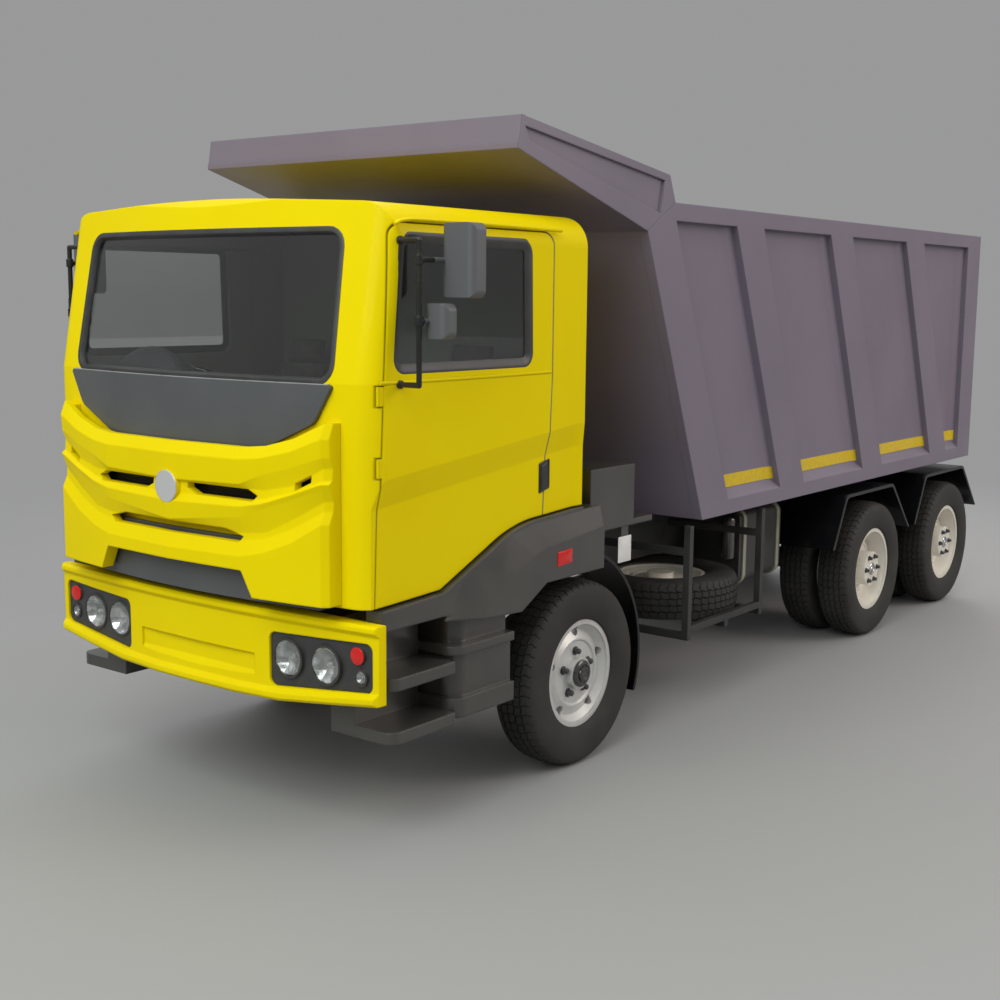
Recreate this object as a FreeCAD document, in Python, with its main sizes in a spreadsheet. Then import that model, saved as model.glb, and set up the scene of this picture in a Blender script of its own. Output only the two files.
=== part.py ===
import FreeCAD, Part
import math
import os
import Sketcher

Vector = FreeCAD.Vector

# Three-axle tipping truck, in millimetres. The sizes are measured from the ground, the truck's
# centre plane and the front axle; y grows towards the tail and x towards the truck's left side.
SIZES = {
    # Stance and wheels
    "front_reach": 1972,
    "tail_reach": 6260,
    "drive_axle_y": 4014,
    "tandem_step": 1586,
    "tyre_radius": 530,
    "tyre_wide": 268,
    "front_tyre_face": 1185,
    "rear_tyre_face": 1220,
    "twin_step": 322,
    "front_rim_radius": 308,
    "rear_rim_radius": 322,
    "rim_thick": 14,
    "front_dish": 34,
    "drive_dish": 118,
    "front_hub_radius": 92,
    "drive_hub_radius": 136,
    "front_hand_hole": 27,
    "front_hand_ring": 240,
    "drive_hand_hole": 38,
    "drive_hand_ring": 188,
    "disc_lip": 9,
    "rim_seat": 0.3,
    "spindle_radius": 40,
    "drive_spindle_radius": 60,
    "turning_fit": 0.3,
    "running_gap": 6,
    "overrun": 1200,
    "shut_gap": 8,
    "kingpin_x": 870,
    "kingpin_radius": 24,
    "kingpin_fit": 0.05,
    # Chassis
    "rail_outer": 428,
    "rail_flange": 76,
    "rail_web": 9,
    "rail_top": 1075,
    "rail_deep": 225,
    "rail_front": 1500,
    "rail_rear": 6130,
    "subframe_deep": 135,
    "subframe_front": 1300,
    "subframe_rear": 6080,
    "subframe_wide": 70,
    "cross_first": 1500,
    "cross_step": 750,
    "cross_deep": 96,
    "cross_thick": 60,
    "coupling_wide": 160,
    "coupling_high": 56,
    "coupling_hole_radius": 10.5,
    "tow_pin_radius": 16,
    "engine_half": 330,
    "engine_front": 1180,
    "engine_rear": 180,
    "engine_low": 640,
    "engine_high": 1160,
    "gearbox_half": 190,
    "gearbox_rear": 980,
    "gearbox_high": 1000,
    "beam_low": 372,
    "beam_deep": 100,
    "beam_half_thick": 45,
    "kingpin_boss_radius": 58,
    "kingpin_boss_half": 66,
    "axle_tube_radius": 84,
    "axle_banjo_radius": 208,
    "spring_wide": 76,
    "spring_thick": 84,
    "front_spring_half": 780,
    "spring_flat_half": 75,
    "spring_tip_thick": 32,
    "spring_bend": 300,
    "shaft_radius": 48,
    "trunnion_radius": 62,
    "trunnion_z": 600,
    "hanger_long": 90,
    "mount_y": 1500,
    "mount_rear_y": 180,
    "mount_long": 90,
    # Cab
    "cab_half": 1180,
    "cab_point": 1888,
    "cab_corner_y": 1752,
    "cab_rear": 40,
    "cab_floor": 1192,
    "cab_belt": 2240,
    "cab_rake_share": 0.179,
    "roof_side": 3062,
    "roof_crown": 3112,
    "roof_edge_bend": 170,
    "roof_crown_bend": 8000,
    "cab_nose_bend": 5000,
    "cab_corner_bend": 120,
    "cab_wall": 44,
    "arch_front_y": 1234,
    "arch_front_z": 1211,
    "arch_top_y": 639,
    "arch_top_z": 1472,
    "arch_rear_z": 1503,
    "arch_bend": 60,
    "arch_top_bend": 900,
    "screen_low": 2237,
    "screen_high": 2946,
    "screen_low_half": 958,
    "screen_high_half": 928,
    "screen_bend": 85,
    "glass_thick": 6,
    "glass_inset": 18,
    "door_front_low": 1702,
    "door_front_belt": 1665,
    "door_front_high": 1598,
    "door_high": 2972,
    "door_rear_low": 385,
    "door_rear_high": 350,
    "door_bend": 70,
    "window_low_front": 1602,
    "window_low_rear": 528,
    "window_high_front": 1545,
    "window_high_rear": 545,
    "window_low": 2285,
    "window_high": 2920,
    "window_bend": 70,
    "hinge_inset": 4,
    "hinge_pin_radius": 4,
    "hinge_low": 1810,
    "hinge_step": 330,
    "hinge_high": 90,
    "hinge_deep": 16,
    "hinge_room": 6,
    "crease_deep": 28,
    "crease_high_front": 1794,
    "crease_low_front": 1662,
    "crease_high_rear": 1957,
    "crease_low_rear": 1832,
    "crease_rear": 120,
    "crease_fade": 0.5,
    "handle_front": 424,
    "handle_rear": 330,
    "handle_low": 1602,
    "handle_high": 1788,
    "handle_rise": 24,
    "handle_deep": 12,
    "handle_bend": 8,
    "band_high": 2232,
    "band_high_half": 978,
    "band_side_low": 2052,
    "band_side_half": 872,
    "band_low": 1912,
    "band_low_half": 560,
    "band_thick": 22,
    "panel_nose_bend": 5200,
    "panel_thick": 34,
    "panel_wall": 46,
    "panel_side_fall": 30,
    "panel_back": 1700,
    "panel_proud": 34,
    "panel_low": 1210,
    "panel_seam": 12,
    "notch_high": 1336,
    "notch_high_half": 510,
    "notch_low_half": 576,
    "slot_upper_high": 1728,
    "slot_upper_low": 1672,
    "slot_upper_in": 130,
    "slot_upper_out": 600,
    "slot_lower_high": 1526,
    "slot_lower_low": 1466,
    "slot_lower_half": 505,
    "slot_tip": 60,
    "side_slot_in": 820,
    "side_slot_out": 912,
    "side_slot_low": 1742,
    "side_slot_rise": 44,
    "side_slot_high": 34,
    "emblem_radius": 80,
    "emblem_z": 1700,
    "emblem_thick": 12,
    "cowl_half": 900,
    "cowl_high": 1480,
    "band_bend": 90,
    "panel_middle_x": 0,
    "panel_slot_x": 500,
    "panel_pad_x": 640,
    "panel_cheek_x": 810,
    "panel_side_x": 980,
    "panel_top_z": 1925,
    "panel_top_side_z": 2061,
    "brow_z": 1866,
    "brow_side_z": 1990,
    "upper_ridge_z": 1736,
    "upper_ridge_side_z": 1905,
    "upper_foot_z": 1728,
    "upper_foot_side_z": 1856,
    "bar_top_z": 1672,
    "bar_top_side_z": 1800,
    "bar_crest_z": 1628,
    "bar_crest_side_z": 1782,
    "lower_ridge_z": 1534,
    "lower_ridge_side_z": 1762,
    "lower_foot_z": 1524,
    "lower_foot_side_z": 1702,
    "smile_top_z": 1466,
    "smile_top_side_z": 1657,
    "smile_crest_z": 1396,
    "smile_crest_side_z": 1596,
    # Bumper, lamps, steps and trims
    "bumper_out": 33,
    "bumper_front": 1838,
    "bumper_end_front": 1760,
    "bumper_back": 1690,
    "bumper_high": 1128,
    "bumper_low": 672,
    "bumper_end_low": 746,
    "bumper_bend": 70,
    "bumper_inset": 26,
    "bumper_round": 14,
    "lip_low": 38,
    "lip_high": 62,
    "brim_low": 56,
    "brim_high": 34,
    "brim_inset": 6,
    "corner_reach": 60,
    "plate_half": 435,
    "plate_low": 765,
    "plate_floor": 800,
    "plate_high": 888,
    "plate_deep": 22,
    "lamp_inner_set": 642,
    "lamp_outer_set": 8,
    "lamp_low": 744,
    "lamp_high": 1018,
    "lamp_outer_low": 802,
    "lamp_outer_high": 1040,
    "lamp_set": 12,
    "lamp_ring": 12,
    "lamp_proud": 8,
    "big_lamp_set": 528,
    "big_lamp_step": 235,
    "big_lamp_z": 897,
    "big_lamp_deep": 44,
    "small_lamp_deep": 18,
    "side_lamp_set": 98,
    "side_lamp_z": 972,
    "side_lamp_step_x": 14,
    "side_lamp_drop": 104,
    "lamp_bend": 40,
    "lamp_fit": 2,
    "big_lamp_radius": 100,
    "small_lamp_radius": 44,
    "lamp_depth": 10,
    "step_front": 1640,
    "step_rear": 694,
    "step_upper": 852,
    "step_lower": 589,
    "step_thick": 62,
    "step_out": 25,
    "step_inner": 800,
    "step_back_x": 960,
    "step_box_front": 1176,
    "step_box_low": 546,
    "step_box_high": 915,
    "step_box_inset": 26,
    "step_ledge_high": 868,
    "step_ledge_low": 648,
    "step_box_bend": 90,
    "step_column_inset": 60,
    "trim_out": 34,
    "trim_inner": 1080,
    "trim_foot_low": 1085,
    "trim_gap": 8,
    "trim_rear": 129,
    "arch_inner_front": 640,
    "arch_inner_low": 1008,
    "arch_inner_rear_z": 1128,
    "flare_base": 2,
    "flare_rear_high": 1480,
    "arch_knee_y": 420,
    "flap_radius": 700,
    "flap_outer": 1112,
    "flap_inner": 860,
    "flap_thick": 22,
    "flap_low": 280,
    "guard_foot_front": 808,
    "guard_top_front": 600,
    "guard_top_rear": 283,
    "guard_foot_rear": 660,
    "guard_high": 1186,
    "guard_low": 790,
    "guard_bend": 90,
    "guard_thick": 24,
    "guard_out": 42,
    "guard_inner": 640,
    # Side furniture
    "box_front": 149,
    "box_rear": 613,
    "box_low": 1340,
    "box_high": 1670,
    "box_outer": 1100,
    "box_inner": 560,
    "shelf_rear": 822,
    "shelf_thick": 36,
    "side_guard_x": 1164,
    "side_guard_tube": 44,
    "side_guard_front": 1180,
    "side_guard_rear": 2150,
    "side_guard_low": 555,
    "side_guard_high": 1222,
    "tank_half_wide": 200,
    "tank_low": 610,
    "tank_high": 1140,
    "tank_bend": 70,
    "tank_strap_wide": 42,
    "tank_strap_thick": 12,
    "tank_front": 2420,
    "tank_rear": 3060,
    "tank_x": 655,
    "air_tank_radius": 120,
    "air_tank_long": 600,
    "air_tank_x": 590,
    "air_tank_z": 690,
    "air_tank_step": 262,
    "spare_y": 1790,
    "spare_x": 588,
    "carrier_rear": 2340,
    "tail_bar_low": 560,
    "tail_bar_high": 680,
    "tail_bar_half": 1090,
    "tail_bar_y": 6240,
    "tail_bar_thick": 60,
    "tail_lamp_wide": 260,
    "tail_lamp_high": 110,
    # Bed
    "bed_half": 1167,
    "bed_front_low": 1320,
    "bed_low": 1248,
    "bed_top": 3194,
    "bed_rear": 6152,
    "knee_y": 587,
    "knee_z": 3018,
    "rail_start_y": 887,
    "side_thick": 66,
    "sheet_thick": 10,
    "top_rail_high": 104,
    "foot_rail_high": 96,
    "ledge_high": 62,
    "fold_wide": 96,
    "fold_deep": 18,
    "front_border": 372,
    "rear_border": 300,
    "rib_first": 2399,
    "rib_step": 1398,
    "rib_wide": 372,
    "rib_lean_share": 0.428,
    "floor_z": 1344,
    "floor_thick": 14,
    "sill_wide": 70,
    "sill_step": 395,
    "bearer_wide": 70,
    "canopy_front_low_y": 658,
    "canopy_front_low_z": 3376,
    "canopy_front_high_y": 631,
    "canopy_front_high_z": 3543,
    "canopy_rear_y": 817,
    "canopy_rear_z": 3349,
    "canopy_sheet": 30,
    "canopy_side": 42,
    "cheek_deep": 18,
    "cheek_front_y": 598,
    "cheek_front_high": 3490,
    "cheek_front_low_y": 556,
    "cheek_front_low": 3424,
    "cheek_rear_y": 760,
    "cheek_rear_high": 3314,
    "cheek_foot_y": 722,
    "cheek_foot": 3124,
    "tip_pivot_y": 6000,
    "tip_pivot_z": 1150,
    "tip_pin_radius": 32,
    "tip_lug_radius": 62,
    "tip_lug_inner": 300,
    "tip_lug_thick": 48,
    "gate_thick": 56,
    "gate_pin_z": 3140,
    "gate_pin_y": 6106,
    "gate_pin_radius": 22,
    "gate_gap": 8,
    "gate_rib_wide": 120,
    # Hoist
    "hoist_base_y": 5100,
    "hoist_base_z": 1034,
    "hoist_eye_y": 3600,
    "hoist_eye_z": 1160,
    "hoist_barrel_radius": 84,
    "hoist_rod_radius": 42,
    "hoist_rod_out": 120,
    "hoist_fit": 0.3,
    "hoist_pin_radius": 28,
    "hoist_eye_radius": 50,
    "hoist_eye_half": 44,
    "hoist_bay_half": 130,
    "hoist_bay_reach": 330,
    # Cab inside
    "seat_wide": 480,
    "seat_x": 640,
    "seat_front": 1010,
    "seat_rear": 420,
    "seat_low": 1560,
    "seat_high": 1720,
    "seat_back_high": 2390,
    "seat_back_thick": 150,
    "seat_bend": 45,
    "dash_rear": 1370,
    "dash_low": 1700,
    "dash_high": 2120,
    "dash_bend": 60,
    "hand_wheel_x": 560,
    "hand_wheel_y": 1180,
    "hand_wheel_z": 2130,
    "hand_wheel_radius": 225,
    "hand_wheel_tube": 16,
    "hand_wheel_tilt": 30,
    "column_radius": 26,
    "column_long": 420,
    # Mirrors
    "mirror_out": 216,
    "mirror_front": 1412,
    "mirror_rear": 1316,
    "mirror_low": 2633,
    "mirror_high": 2972,
    "mirror_wide": 190,
    "mirror_bend": 35,
    "wide_mirror_out": 172,
    "wide_mirror_front": 1515,
    "wide_mirror_rear": 1435,
    "wide_mirror_low": 2446,
    "wide_mirror_high": 2608,
    "wide_mirror_wide": 130,
    "mirror_collar": 20,
    "mirror_collar_high": 44,
    "mirror_tube": 13,
    "mirror_arm_y": 1560,
    "mirror_arm_out": 120,
    "mirror_arm_low": 2236,
    "mirror_arm_high": 2890,
}

doc = FreeCAD.newDocument("tipping_truck")
sheet = doc.addObject("Spreadsheet::Sheet", "sizes")


class Size:
    """A length that carries the sheet formula it comes from, so that sums stay bound."""

    def __init__(self, number, formula):
        self.number = float(number)
        self.formula = formula

    def __add__(self, other):
        other = as_size(other)
        return Size(self.number + other.number, f"({self.formula} + {other.formula})")

    def __sub__(self, other):
        other = as_size(other)
        return Size(self.number - other.number, f"({self.formula} - {other.formula})")

    def __mul__(self, other):
        other = as_size(other)
        return Size(self.number * other.number, f"({self.formula} * {other.formula})")

    def __truediv__(self, other):
        other = as_size(other)
        return Size(self.number / other.number, f"({self.formula} / {other.formula})")

    def __rsub__(self, other):
        return as_size(other) - self

    def __neg__(self):
        return Size(-self.number, f"(-1 * {self.formula})")

    __radd__ = __add__
    __rmul__ = __mul__


def as_size(value):
    """A plain number as a Size, and a Size as it is."""
    if isinstance(value, Size):
        return value
    return Size(value, repr(value))


class Sheet:
    """The sheet's sizes, each read by its alias."""


s = Sheet()
for row, (alias, number) in enumerate(SIZES.items(), start=1):
    sheet.set(f"A{row}", alias)
    sheet.set(f"B{row}", str(number))
    sheet.setAlias(f"B{row}", alias)
    setattr(s, alias, Size(number, "sizes." + alias))
doc.recompute()

quarter_turn = 90
whole_turn = quarter_turn * 4
AXES = {"x": Vector(1, 0, 0), "y": Vector(0, 1, 0), "z": Vector(0, 0, 1)}
PLANES = {
    "side": ("x", FreeCAD.Rotation(AXES["y"], AXES["z"], AXES["x"], "XYZ")),
    "front": ("y", FreeCAD.Rotation(AXES["x"], AXES["z"], -AXES["y"], "XYZ")),
    "plan": ("z", FreeCAD.Rotation()),
}
ROD_TURNS = {
    "x": FreeCAD.Rotation(AXES["y"], quarter_turn),
    "y": FreeCAD.Rotation(AXES["x"], -quarter_turn),
    "z": FreeCAD.Rotation(),
}
nodes = []


def place(thing, **where):
    """Binds a thing's place along x, y and z to sheet formulas."""
    for axis, size in where.items():
        thing.setExpression("Placement.Base." + axis, as_size(size).formula)
    return thing


def outline(name, plane, corners, at=0):
    """Closed sketch through corners (across, up) or (across, up, bend radius) on a plane."""
    axis, turn = PLANES[plane]
    sketch = doc.addObject("Sketcher::SketchObject", name)
    sketch.Placement = FreeCAD.Placement(Vector(), turn)
    place(sketch, **{axis: at})
    corners = [tuple(as_size(value) for value in corner) for corner in corners]
    points = [Vector(corner[0].number, corner[1].number, 0) for corner in corners]
    count = len(points)
    starts = []
    ends = []
    arcs = []
    for index, corner in enumerate(corners):
        point = points[index]
        if len(corner) == 2:
            starts.append(point)
            ends.append(point)
            arcs.append(None)
            continue
        before = (points[index - 1] - point).normalize()
        after = (points[(index + 1) % count] - point).normalize()
        half = before.getAngle(after) / 2
        radius = corner[2].number
        reach = radius / math.tan(half)
        centre = point + (before + after).normalize() * (radius / math.sin(half))
        ends.append(point + before * reach)
        starts.append(point + after * reach)
        left_turn = (before.cross(after)).z < 0
        arcs.append((centre, radius, left_turn))
    lines = []
    for index in range(count):
        follower = (index + 1) % count
        lines.append(sketch.addGeometry(Part.LineSegment(starts[index], ends[follower]), False))
    limits = []
    for index, corner in enumerate(corners):
        came = lines[index - 1]
        goes = lines[index]
        if arcs[index] is None:
            limits.append((Sketcher.Constraint("Coincident", came, 2, goes, 1), None))
            mark = (goes, 1)
        else:
            centre, radius, left_turn = arcs[index]
            first, last = (ends[index], starts[index]) if left_turn else (starts[index], ends[index])
            angles = [math.atan2(end.y - centre.y, end.x - centre.x) for end in (first, last)]
            circle = Part.Circle(centre, AXES["z"], radius)
            arc = sketch.addGeometry(Part.ArcOfCircle(circle, angles[0], angles[1]), False)
            first_end, last_end = (1, 2) if left_turn else (2, 1)
            point = sketch.addGeometry(Part.Point(points[index]), True)
            limits.append((Sketcher.Constraint("PointOnObject", point, 1, came), None))
            limits.append((Sketcher.Constraint("PointOnObject", point, 1, goes), None))
            limits.append((Sketcher.Constraint("Tangent", came, 2, arc, first_end), None))
            limits.append((Sketcher.Constraint("Tangent", goes, 1, arc, last_end), None))
            limits.append((Sketcher.Constraint("Radius", arc, radius), corner[2]))
            mark = (point, 1)
        limits.append((Sketcher.Constraint("DistanceX", *mark, corner[0].number), corner[0]))
        limits.append((Sketcher.Constraint("DistanceY", *mark, corner[1].number), corner[1]))
    for limit, size in limits:
        number = sketch.addConstraint(limit)
        if size is not None:
            sketch.setExpression(f"Constraints[{number}]", size.formula)
    return sketch


def slab(name, plane, corners, low, high):
    """Solid with a closed outline as its section, from one place to another along the third axis."""
    axis = PLANES[plane][0]
    solid = doc.addObject("Part::Extrusion", name)
    solid.Base = outline(name + "_outline", plane, corners, low)
    solid.DirMode = "Custom"
    solid.Dir = AXES[axis]
    solid.Solid = True
    solid.setExpression("LengthFwd", (as_size(high) - low).formula)
    return solid


def loft(name, plane, sections):
    """Solid with straight walls between outlines of as many corners, each given as (place, corners)."""
    solid = doc.addObject("Part::Loft", name)
    outlines = []
    for number, (at, corners) in enumerate(sections):
        outlines.append(outline(f"{name}_section_{number}", plane, corners, at))
    solid.Sections = outlines
    solid.Solid = True
    solid.Ruled = True
    return solid


def block(name, x, y, z):
    """Box between two places along each axis."""
    box = doc.addObject("Part::Box", name)
    box.setExpression("Length", (as_size(x[1]) - x[0]).formula)
    box.setExpression("Width", (as_size(y[1]) - y[0]).formula)
    box.setExpression("Height", (as_size(z[1]) - z[0]).formula)
    return place(box, x=x[0], y=y[0], z=z[0])


def rod(name, axis, x, y, z, radius):
    """Cylinder along one axis; that axis is given as two places, the others as one."""
    ends = {"x": x, "y": y, "z": z}
    low, high = ends[axis]
    ends[axis] = low
    cylinder = doc.addObject("Part::Cylinder", name)
    cylinder.Placement = FreeCAD.Placement(Vector(), ROD_TURNS[axis])
    cylinder.setExpression("Radius", as_size(radius).formula)
    cylinder.setExpression("Height", (as_size(high) - low).formula)
    return place(cylinder, **ends)


def turned(name, corners, y, z):
    """Solid of revolution about a crosswise line; its corners are (x, radius[, bend])."""
    solid = doc.addObject("Part::Revolution", name)
    solid.Source = outline(name + "_outline", "front", corners)
    solid.Axis = AXES["x"]
    solid.Base = Vector()
    solid.Angle = whole_turn
    solid.Solid = True
    return place(solid, y=y, z=z)


def cut(name, base, *tools):
    """A solid less the tools."""
    result = doc.addObject("Part::Cut", name)
    result.Base = base
    result.Tool = tools[0] if len(tools) == 1 else join(name + "_tools", *tools)
    return result


def join(name, *solids):
    """Solids made one where they meet."""
    result = doc.addObject("Part::MultiFuse", name)
    result.Shapes = list(solids)
    result.Refine = True
    return result


def common(name, *solids):
    """What all the solids share."""
    result = doc.addObject("Part::MultiCommon", name)
    result.Shapes = list(solids)
    return result


def mirrored(solid):
    """The same solid on the other side of the truck's centre plane."""
    result = doc.addObject("Part::Mirroring", solid.Name + "_mirrored")
    result.Source = solid
    result.Normal = AXES["x"]
    result.Base = Vector()
    return result


def both_sides(*solids):
    """The solids and their mirror images."""
    return [*solids, *[mirrored(solid) for solid in solids]]


# The part's origin lies under the middle of its length
origin_shift = (s.front_reach - s.tail_reach) / 2


def node(label, *solids):
    """A finished sub-part: its solids in one named object, moved to the part's own origin."""
    result = doc.addObject("Part::Compound", label + "_node")
    result.Links = list(solids)
    result.Label = label
    place(result, y=origin_shift)
    nodes.append(result)


# Places that several sub-parts share
axle_ys = [s.drive_axle_y, s.drive_axle_y + s.tandem_step]
tandem_y = s.drive_axle_y + s.tandem_step / 2
wheel_z = s.tyre_radius
rail_low = s.rail_top - s.rail_deep
rail_inner = s.rail_outer - s.rail_web
subframe_top = s.rail_top + s.subframe_deep
spring_x = [s.rail_outer - s.spring_wide, s.rail_outer]
spring_seat = s.beam_low + s.beam_deep
front_spring_tip = rail_low - s.spring_tip_thick - s.running_gap
floor_start = s.bed_front_low + s.side_thick
overrun = s.overrun


def frame_rails():
    """Two channel-section side rails, open towards each other."""
    section = [
        (s.rail_outer, rail_low),
        (s.rail_outer, s.rail_top),
        (s.rail_outer - s.rail_flange, s.rail_top),
        (s.rail_outer - s.rail_flange, s.rail_top - s.rail_web),
        (rail_inner, s.rail_top - s.rail_web),
        (rail_inner, rail_low + s.rail_web),
        (s.rail_outer - s.rail_flange, rail_low + s.rail_web),
        (s.rail_outer - s.rail_flange, rail_low),
    ]
    rail = slab("frame_rail", "front", section, -s.rail_front, s.rail_rear)
    node("frame_rails", *both_sides(rail))


def subframe_rails():
    """Two box rails on the frame that carry the bed."""
    rail = block(
        "subframe_rail",
        (s.rail_outer - s.subframe_wide, s.rail_outer),
        (s.subframe_front, s.subframe_rear),
        (s.rail_top, subframe_top),
    )
    node("subframe_rails", *both_sides(rail))


REAR_TIES = 7


def crossmembers():
    """Ties between the rails: one at the nose, the others evenly spaced behind the gearbox."""
    ties = []
    low = rail_low + s.rail_web
    places = [-s.rail_front]
    for number in range(REAR_TIES):
        places.append(s.cross_first + s.cross_step * number)
    places[-1] = s.rail_rear - s.cross_thick
    for number, y in enumerate(places):
        tie = block(
            f"crossmember_{number}",
            (-rail_inner, rail_inner),
            (y, y + s.cross_thick),
            (low, low + s.cross_deep),
        )
        ties.append(tie)
    holes = []
    hole_y = (s.rail_rear - s.cross_thick * 2, s.rail_rear + s.cross_thick)
    for across in (-1, 1):
        for up in (-1, 1):
            x = s.coupling_wide / 2 * across
            z = low + s.cross_deep / 2 + s.coupling_high / 2 * up
            holes.append(rod("coupling_hole", "y", x, hole_y, z, s.coupling_hole_radius))
    ties[-1] = cut("rear_crossmember", ties[-1], *holes)
    pin_z = (low - s.cross_thick, low + s.cross_deep + s.cross_thick)
    tow_y = -s.rail_front + s.cross_thick / 2
    ties[0] = cut("front_crossmember", ties[0], rod("tow_pin_hole", "z", 0, tow_y, pin_z, s.tow_pin_radius))
    node("crossmembers", *ties)


def engine_block():
    """Engine and gearbox as one plain mass, on four lugs against the rails."""
    engine = block(
        "engine_mass",
        (-s.engine_half, s.engine_half),
        (-s.engine_front, s.engine_rear),
        (s.engine_low, s.engine_high),
    )
    gearbox = block(
        "gearbox_mass",
        (-s.gearbox_half, s.gearbox_half),
        (s.engine_rear, s.gearbox_rear),
        (s.engine_low, s.gearbox_high),
    )
    lug_z = (rail_low + s.spring_tip_thick, s.rail_top - s.spring_tip_thick)
    lugs = []
    for number, y in enumerate([-s.engine_front, s.engine_rear - s.cross_deep]):
        lug_y = (y, y + s.cross_deep)
        lugs.append(block(f"engine_lug_{number}", (-rail_inner, rail_inner), lug_y, lug_z))
    node("engine_block", join("engine_mass_whole", engine, gearbox, *lugs))


def front_axle():
    """Dropped beam with an upright eye at each end for the kingpin."""
    low = s.beam_low
    high = spring_seat
    boss_low = wheel_z - s.kingpin_boss_half
    boss_high = wheel_z + s.kingpin_boss_half
    corners = [
        (-s.kingpin_x, wheel_z - s.beam_deep / 2),
        (-s.rail_outer - s.beam_deep, low, s.beam_deep),
        (s.rail_outer + s.beam_deep, low, s.beam_deep),
        (s.kingpin_x, wheel_z - s.beam_deep / 2),
        (s.kingpin_x, wheel_z + s.beam_deep / 2),
        (s.rail_outer + s.beam_deep / 2, high, s.beam_deep),
        (-s.rail_outer - s.beam_deep / 2, high, s.beam_deep),
        (-s.kingpin_x, wheel_z + s.beam_deep / 2),
    ]
    beam = slab("front_beam", "front", corners, -s.beam_half_thick, s.beam_half_thick)
    bosses = []
    bores = []
    for side in (-1, 1):
        x = s.kingpin_x * side
        boss_z = (boss_low, boss_high)
        bosses.append(rod("kingpin_boss", "z", x, 0, boss_z, s.kingpin_boss_radius))
        bores.append(rod("kingpin_bore", "z", x, 0, (low, s.rail_top), s.kingpin_radius + s.kingpin_fit))
    return cut("front_beam_bored", join("front_beam_whole", beam, *bosses), *bores)


# Shares of the gear bulge's radius: its flat crown, its whole half width and the pinion nose
BULGE_CROWN_SHARE = 0.33
BULGE_SHARE = 1.3
PINION_SHARE = 1.6


def drive_axle(number, y):
    """Round axle housing with a bulged centre for the gears and a spindle at each end."""
    inner_face = s.rear_tyre_face - s.twin_step - s.tyre_wide
    spindle_end = s.rear_tyre_face - s.tyre_wide / 2
    half = [
        (0, s.axle_banjo_radius),
        (s.axle_banjo_radius * BULGE_CROWN_SHARE, s.axle_banjo_radius),
        (s.axle_banjo_radius * BULGE_SHARE, s.axle_tube_radius),
        (inner_face, s.axle_tube_radius),
        (inner_face, s.drive_spindle_radius),
        (spindle_end, s.drive_spindle_radius),
    ]
    corners = [(-x, r) for x, r in reversed(half[1:])]
    corners = [(-spindle_end, 0), *corners, *half[1:], (spindle_end, 0)]
    housing = turned(f"axle_housing_{number}", corners, y, wheel_z)
    nose = rod(
        f"pinion_nose_{number}",
        "y",
        0,
        (y - s.axle_banjo_radius * PINION_SHARE, y),
        wheel_z,
        s.axle_tube_radius,
    )
    return join(f"drive_axle_{number}", housing, nose)


def axles():
    """The front beam and the two drive axles."""
    solids = [front_axle()]
    for number, y in enumerate(axle_ys):
        solids.append(drive_axle(number, y))
    node("axles", *solids)


def leaf_springs():
    """Front springs under the rails, and rear springs that ride on both drive axles."""
    flat = s.spring_flat_half
    tip = s.front_spring_half
    front = [
        (-tip, front_spring_tip),
        (-flat, spring_seat, s.spring_bend),
        (flat, spring_seat, s.spring_bend),
        (tip, front_spring_tip),
        (tip, front_spring_tip + s.spring_tip_thick),
        (flat, spring_seat + s.spring_thick, s.spring_bend),
        (-flat, spring_seat + s.spring_thick, s.spring_bend),
        (-tip, front_spring_tip + s.spring_tip_thick),
    ]
    seat = wheel_z + s.axle_tube_radius
    reach = s.tandem_step / 2 + flat
    crest = s.trunnion_z + s.trunnion_radius
    rear = [
        (tandem_y - reach, seat),
        (tandem_y - s.tandem_step / 2 + flat, seat),
        (tandem_y - flat * 2, crest, s.spring_bend),
        (tandem_y + flat * 2, crest, s.spring_bend),
        (tandem_y + s.tandem_step / 2 - flat, seat),
        (tandem_y + reach, seat),
        (tandem_y + reach, seat + s.spring_tip_thick),
        (tandem_y + flat * 2, crest + s.spring_thick, s.spring_bend),
        (tandem_y - flat * 2, crest + s.spring_thick, s.spring_bend),
        (tandem_y - reach, seat + s.spring_tip_thick),
    ]
    front_spring = slab("front_spring", "side", front, *spring_x)
    rear_x = [s.rail_outer + s.running_gap, s.rail_outer + s.running_gap + s.spring_wide]
    rear_spring = slab("rear_spring", "side", rear, *rear_x)
    node("leaf_springs", *both_sides(front_spring, rear_spring))


def propshafts():
    """Drive shafts from the gearbox to the first drive axle and on to the second."""
    nose = s.axle_banjo_radius * PINION_SHARE
    z = (s.engine_low + s.gearbox_high) / 2
    link_y = (s.drive_axle_y + s.axle_banjo_radius, s.drive_axle_y + s.tandem_step - nose)
    drop = [
        (s.gearbox_rear, z - s.shaft_radius),
        (s.drive_axle_y - nose, wheel_z - s.shaft_radius),
        (s.drive_axle_y - nose, wheel_z + s.shaft_radius),
        (s.gearbox_rear, z + s.shaft_radius),
    ]
    long_shaft = slab("long_shaft", "side", drop, -s.shaft_radius, s.shaft_radius)
    link_shaft = rod("link_shaft", "y", 0, link_y, wheel_z, s.shaft_radius)
    node("propshafts", long_shaft, link_shaft)


# Shares of the tyre's width at its shoulder, of its height where it is widest and of the
# shoulder where the wall rolls over, and of the rim's radius at its well and its flat disc
SHOULDER_SHARE = 0.125
WIDEST_SHARE = 0.34
ROLL_SHARE = 0.33
WELL_SHARE = 0.8
PLATE_SHARE = 0.64


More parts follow.
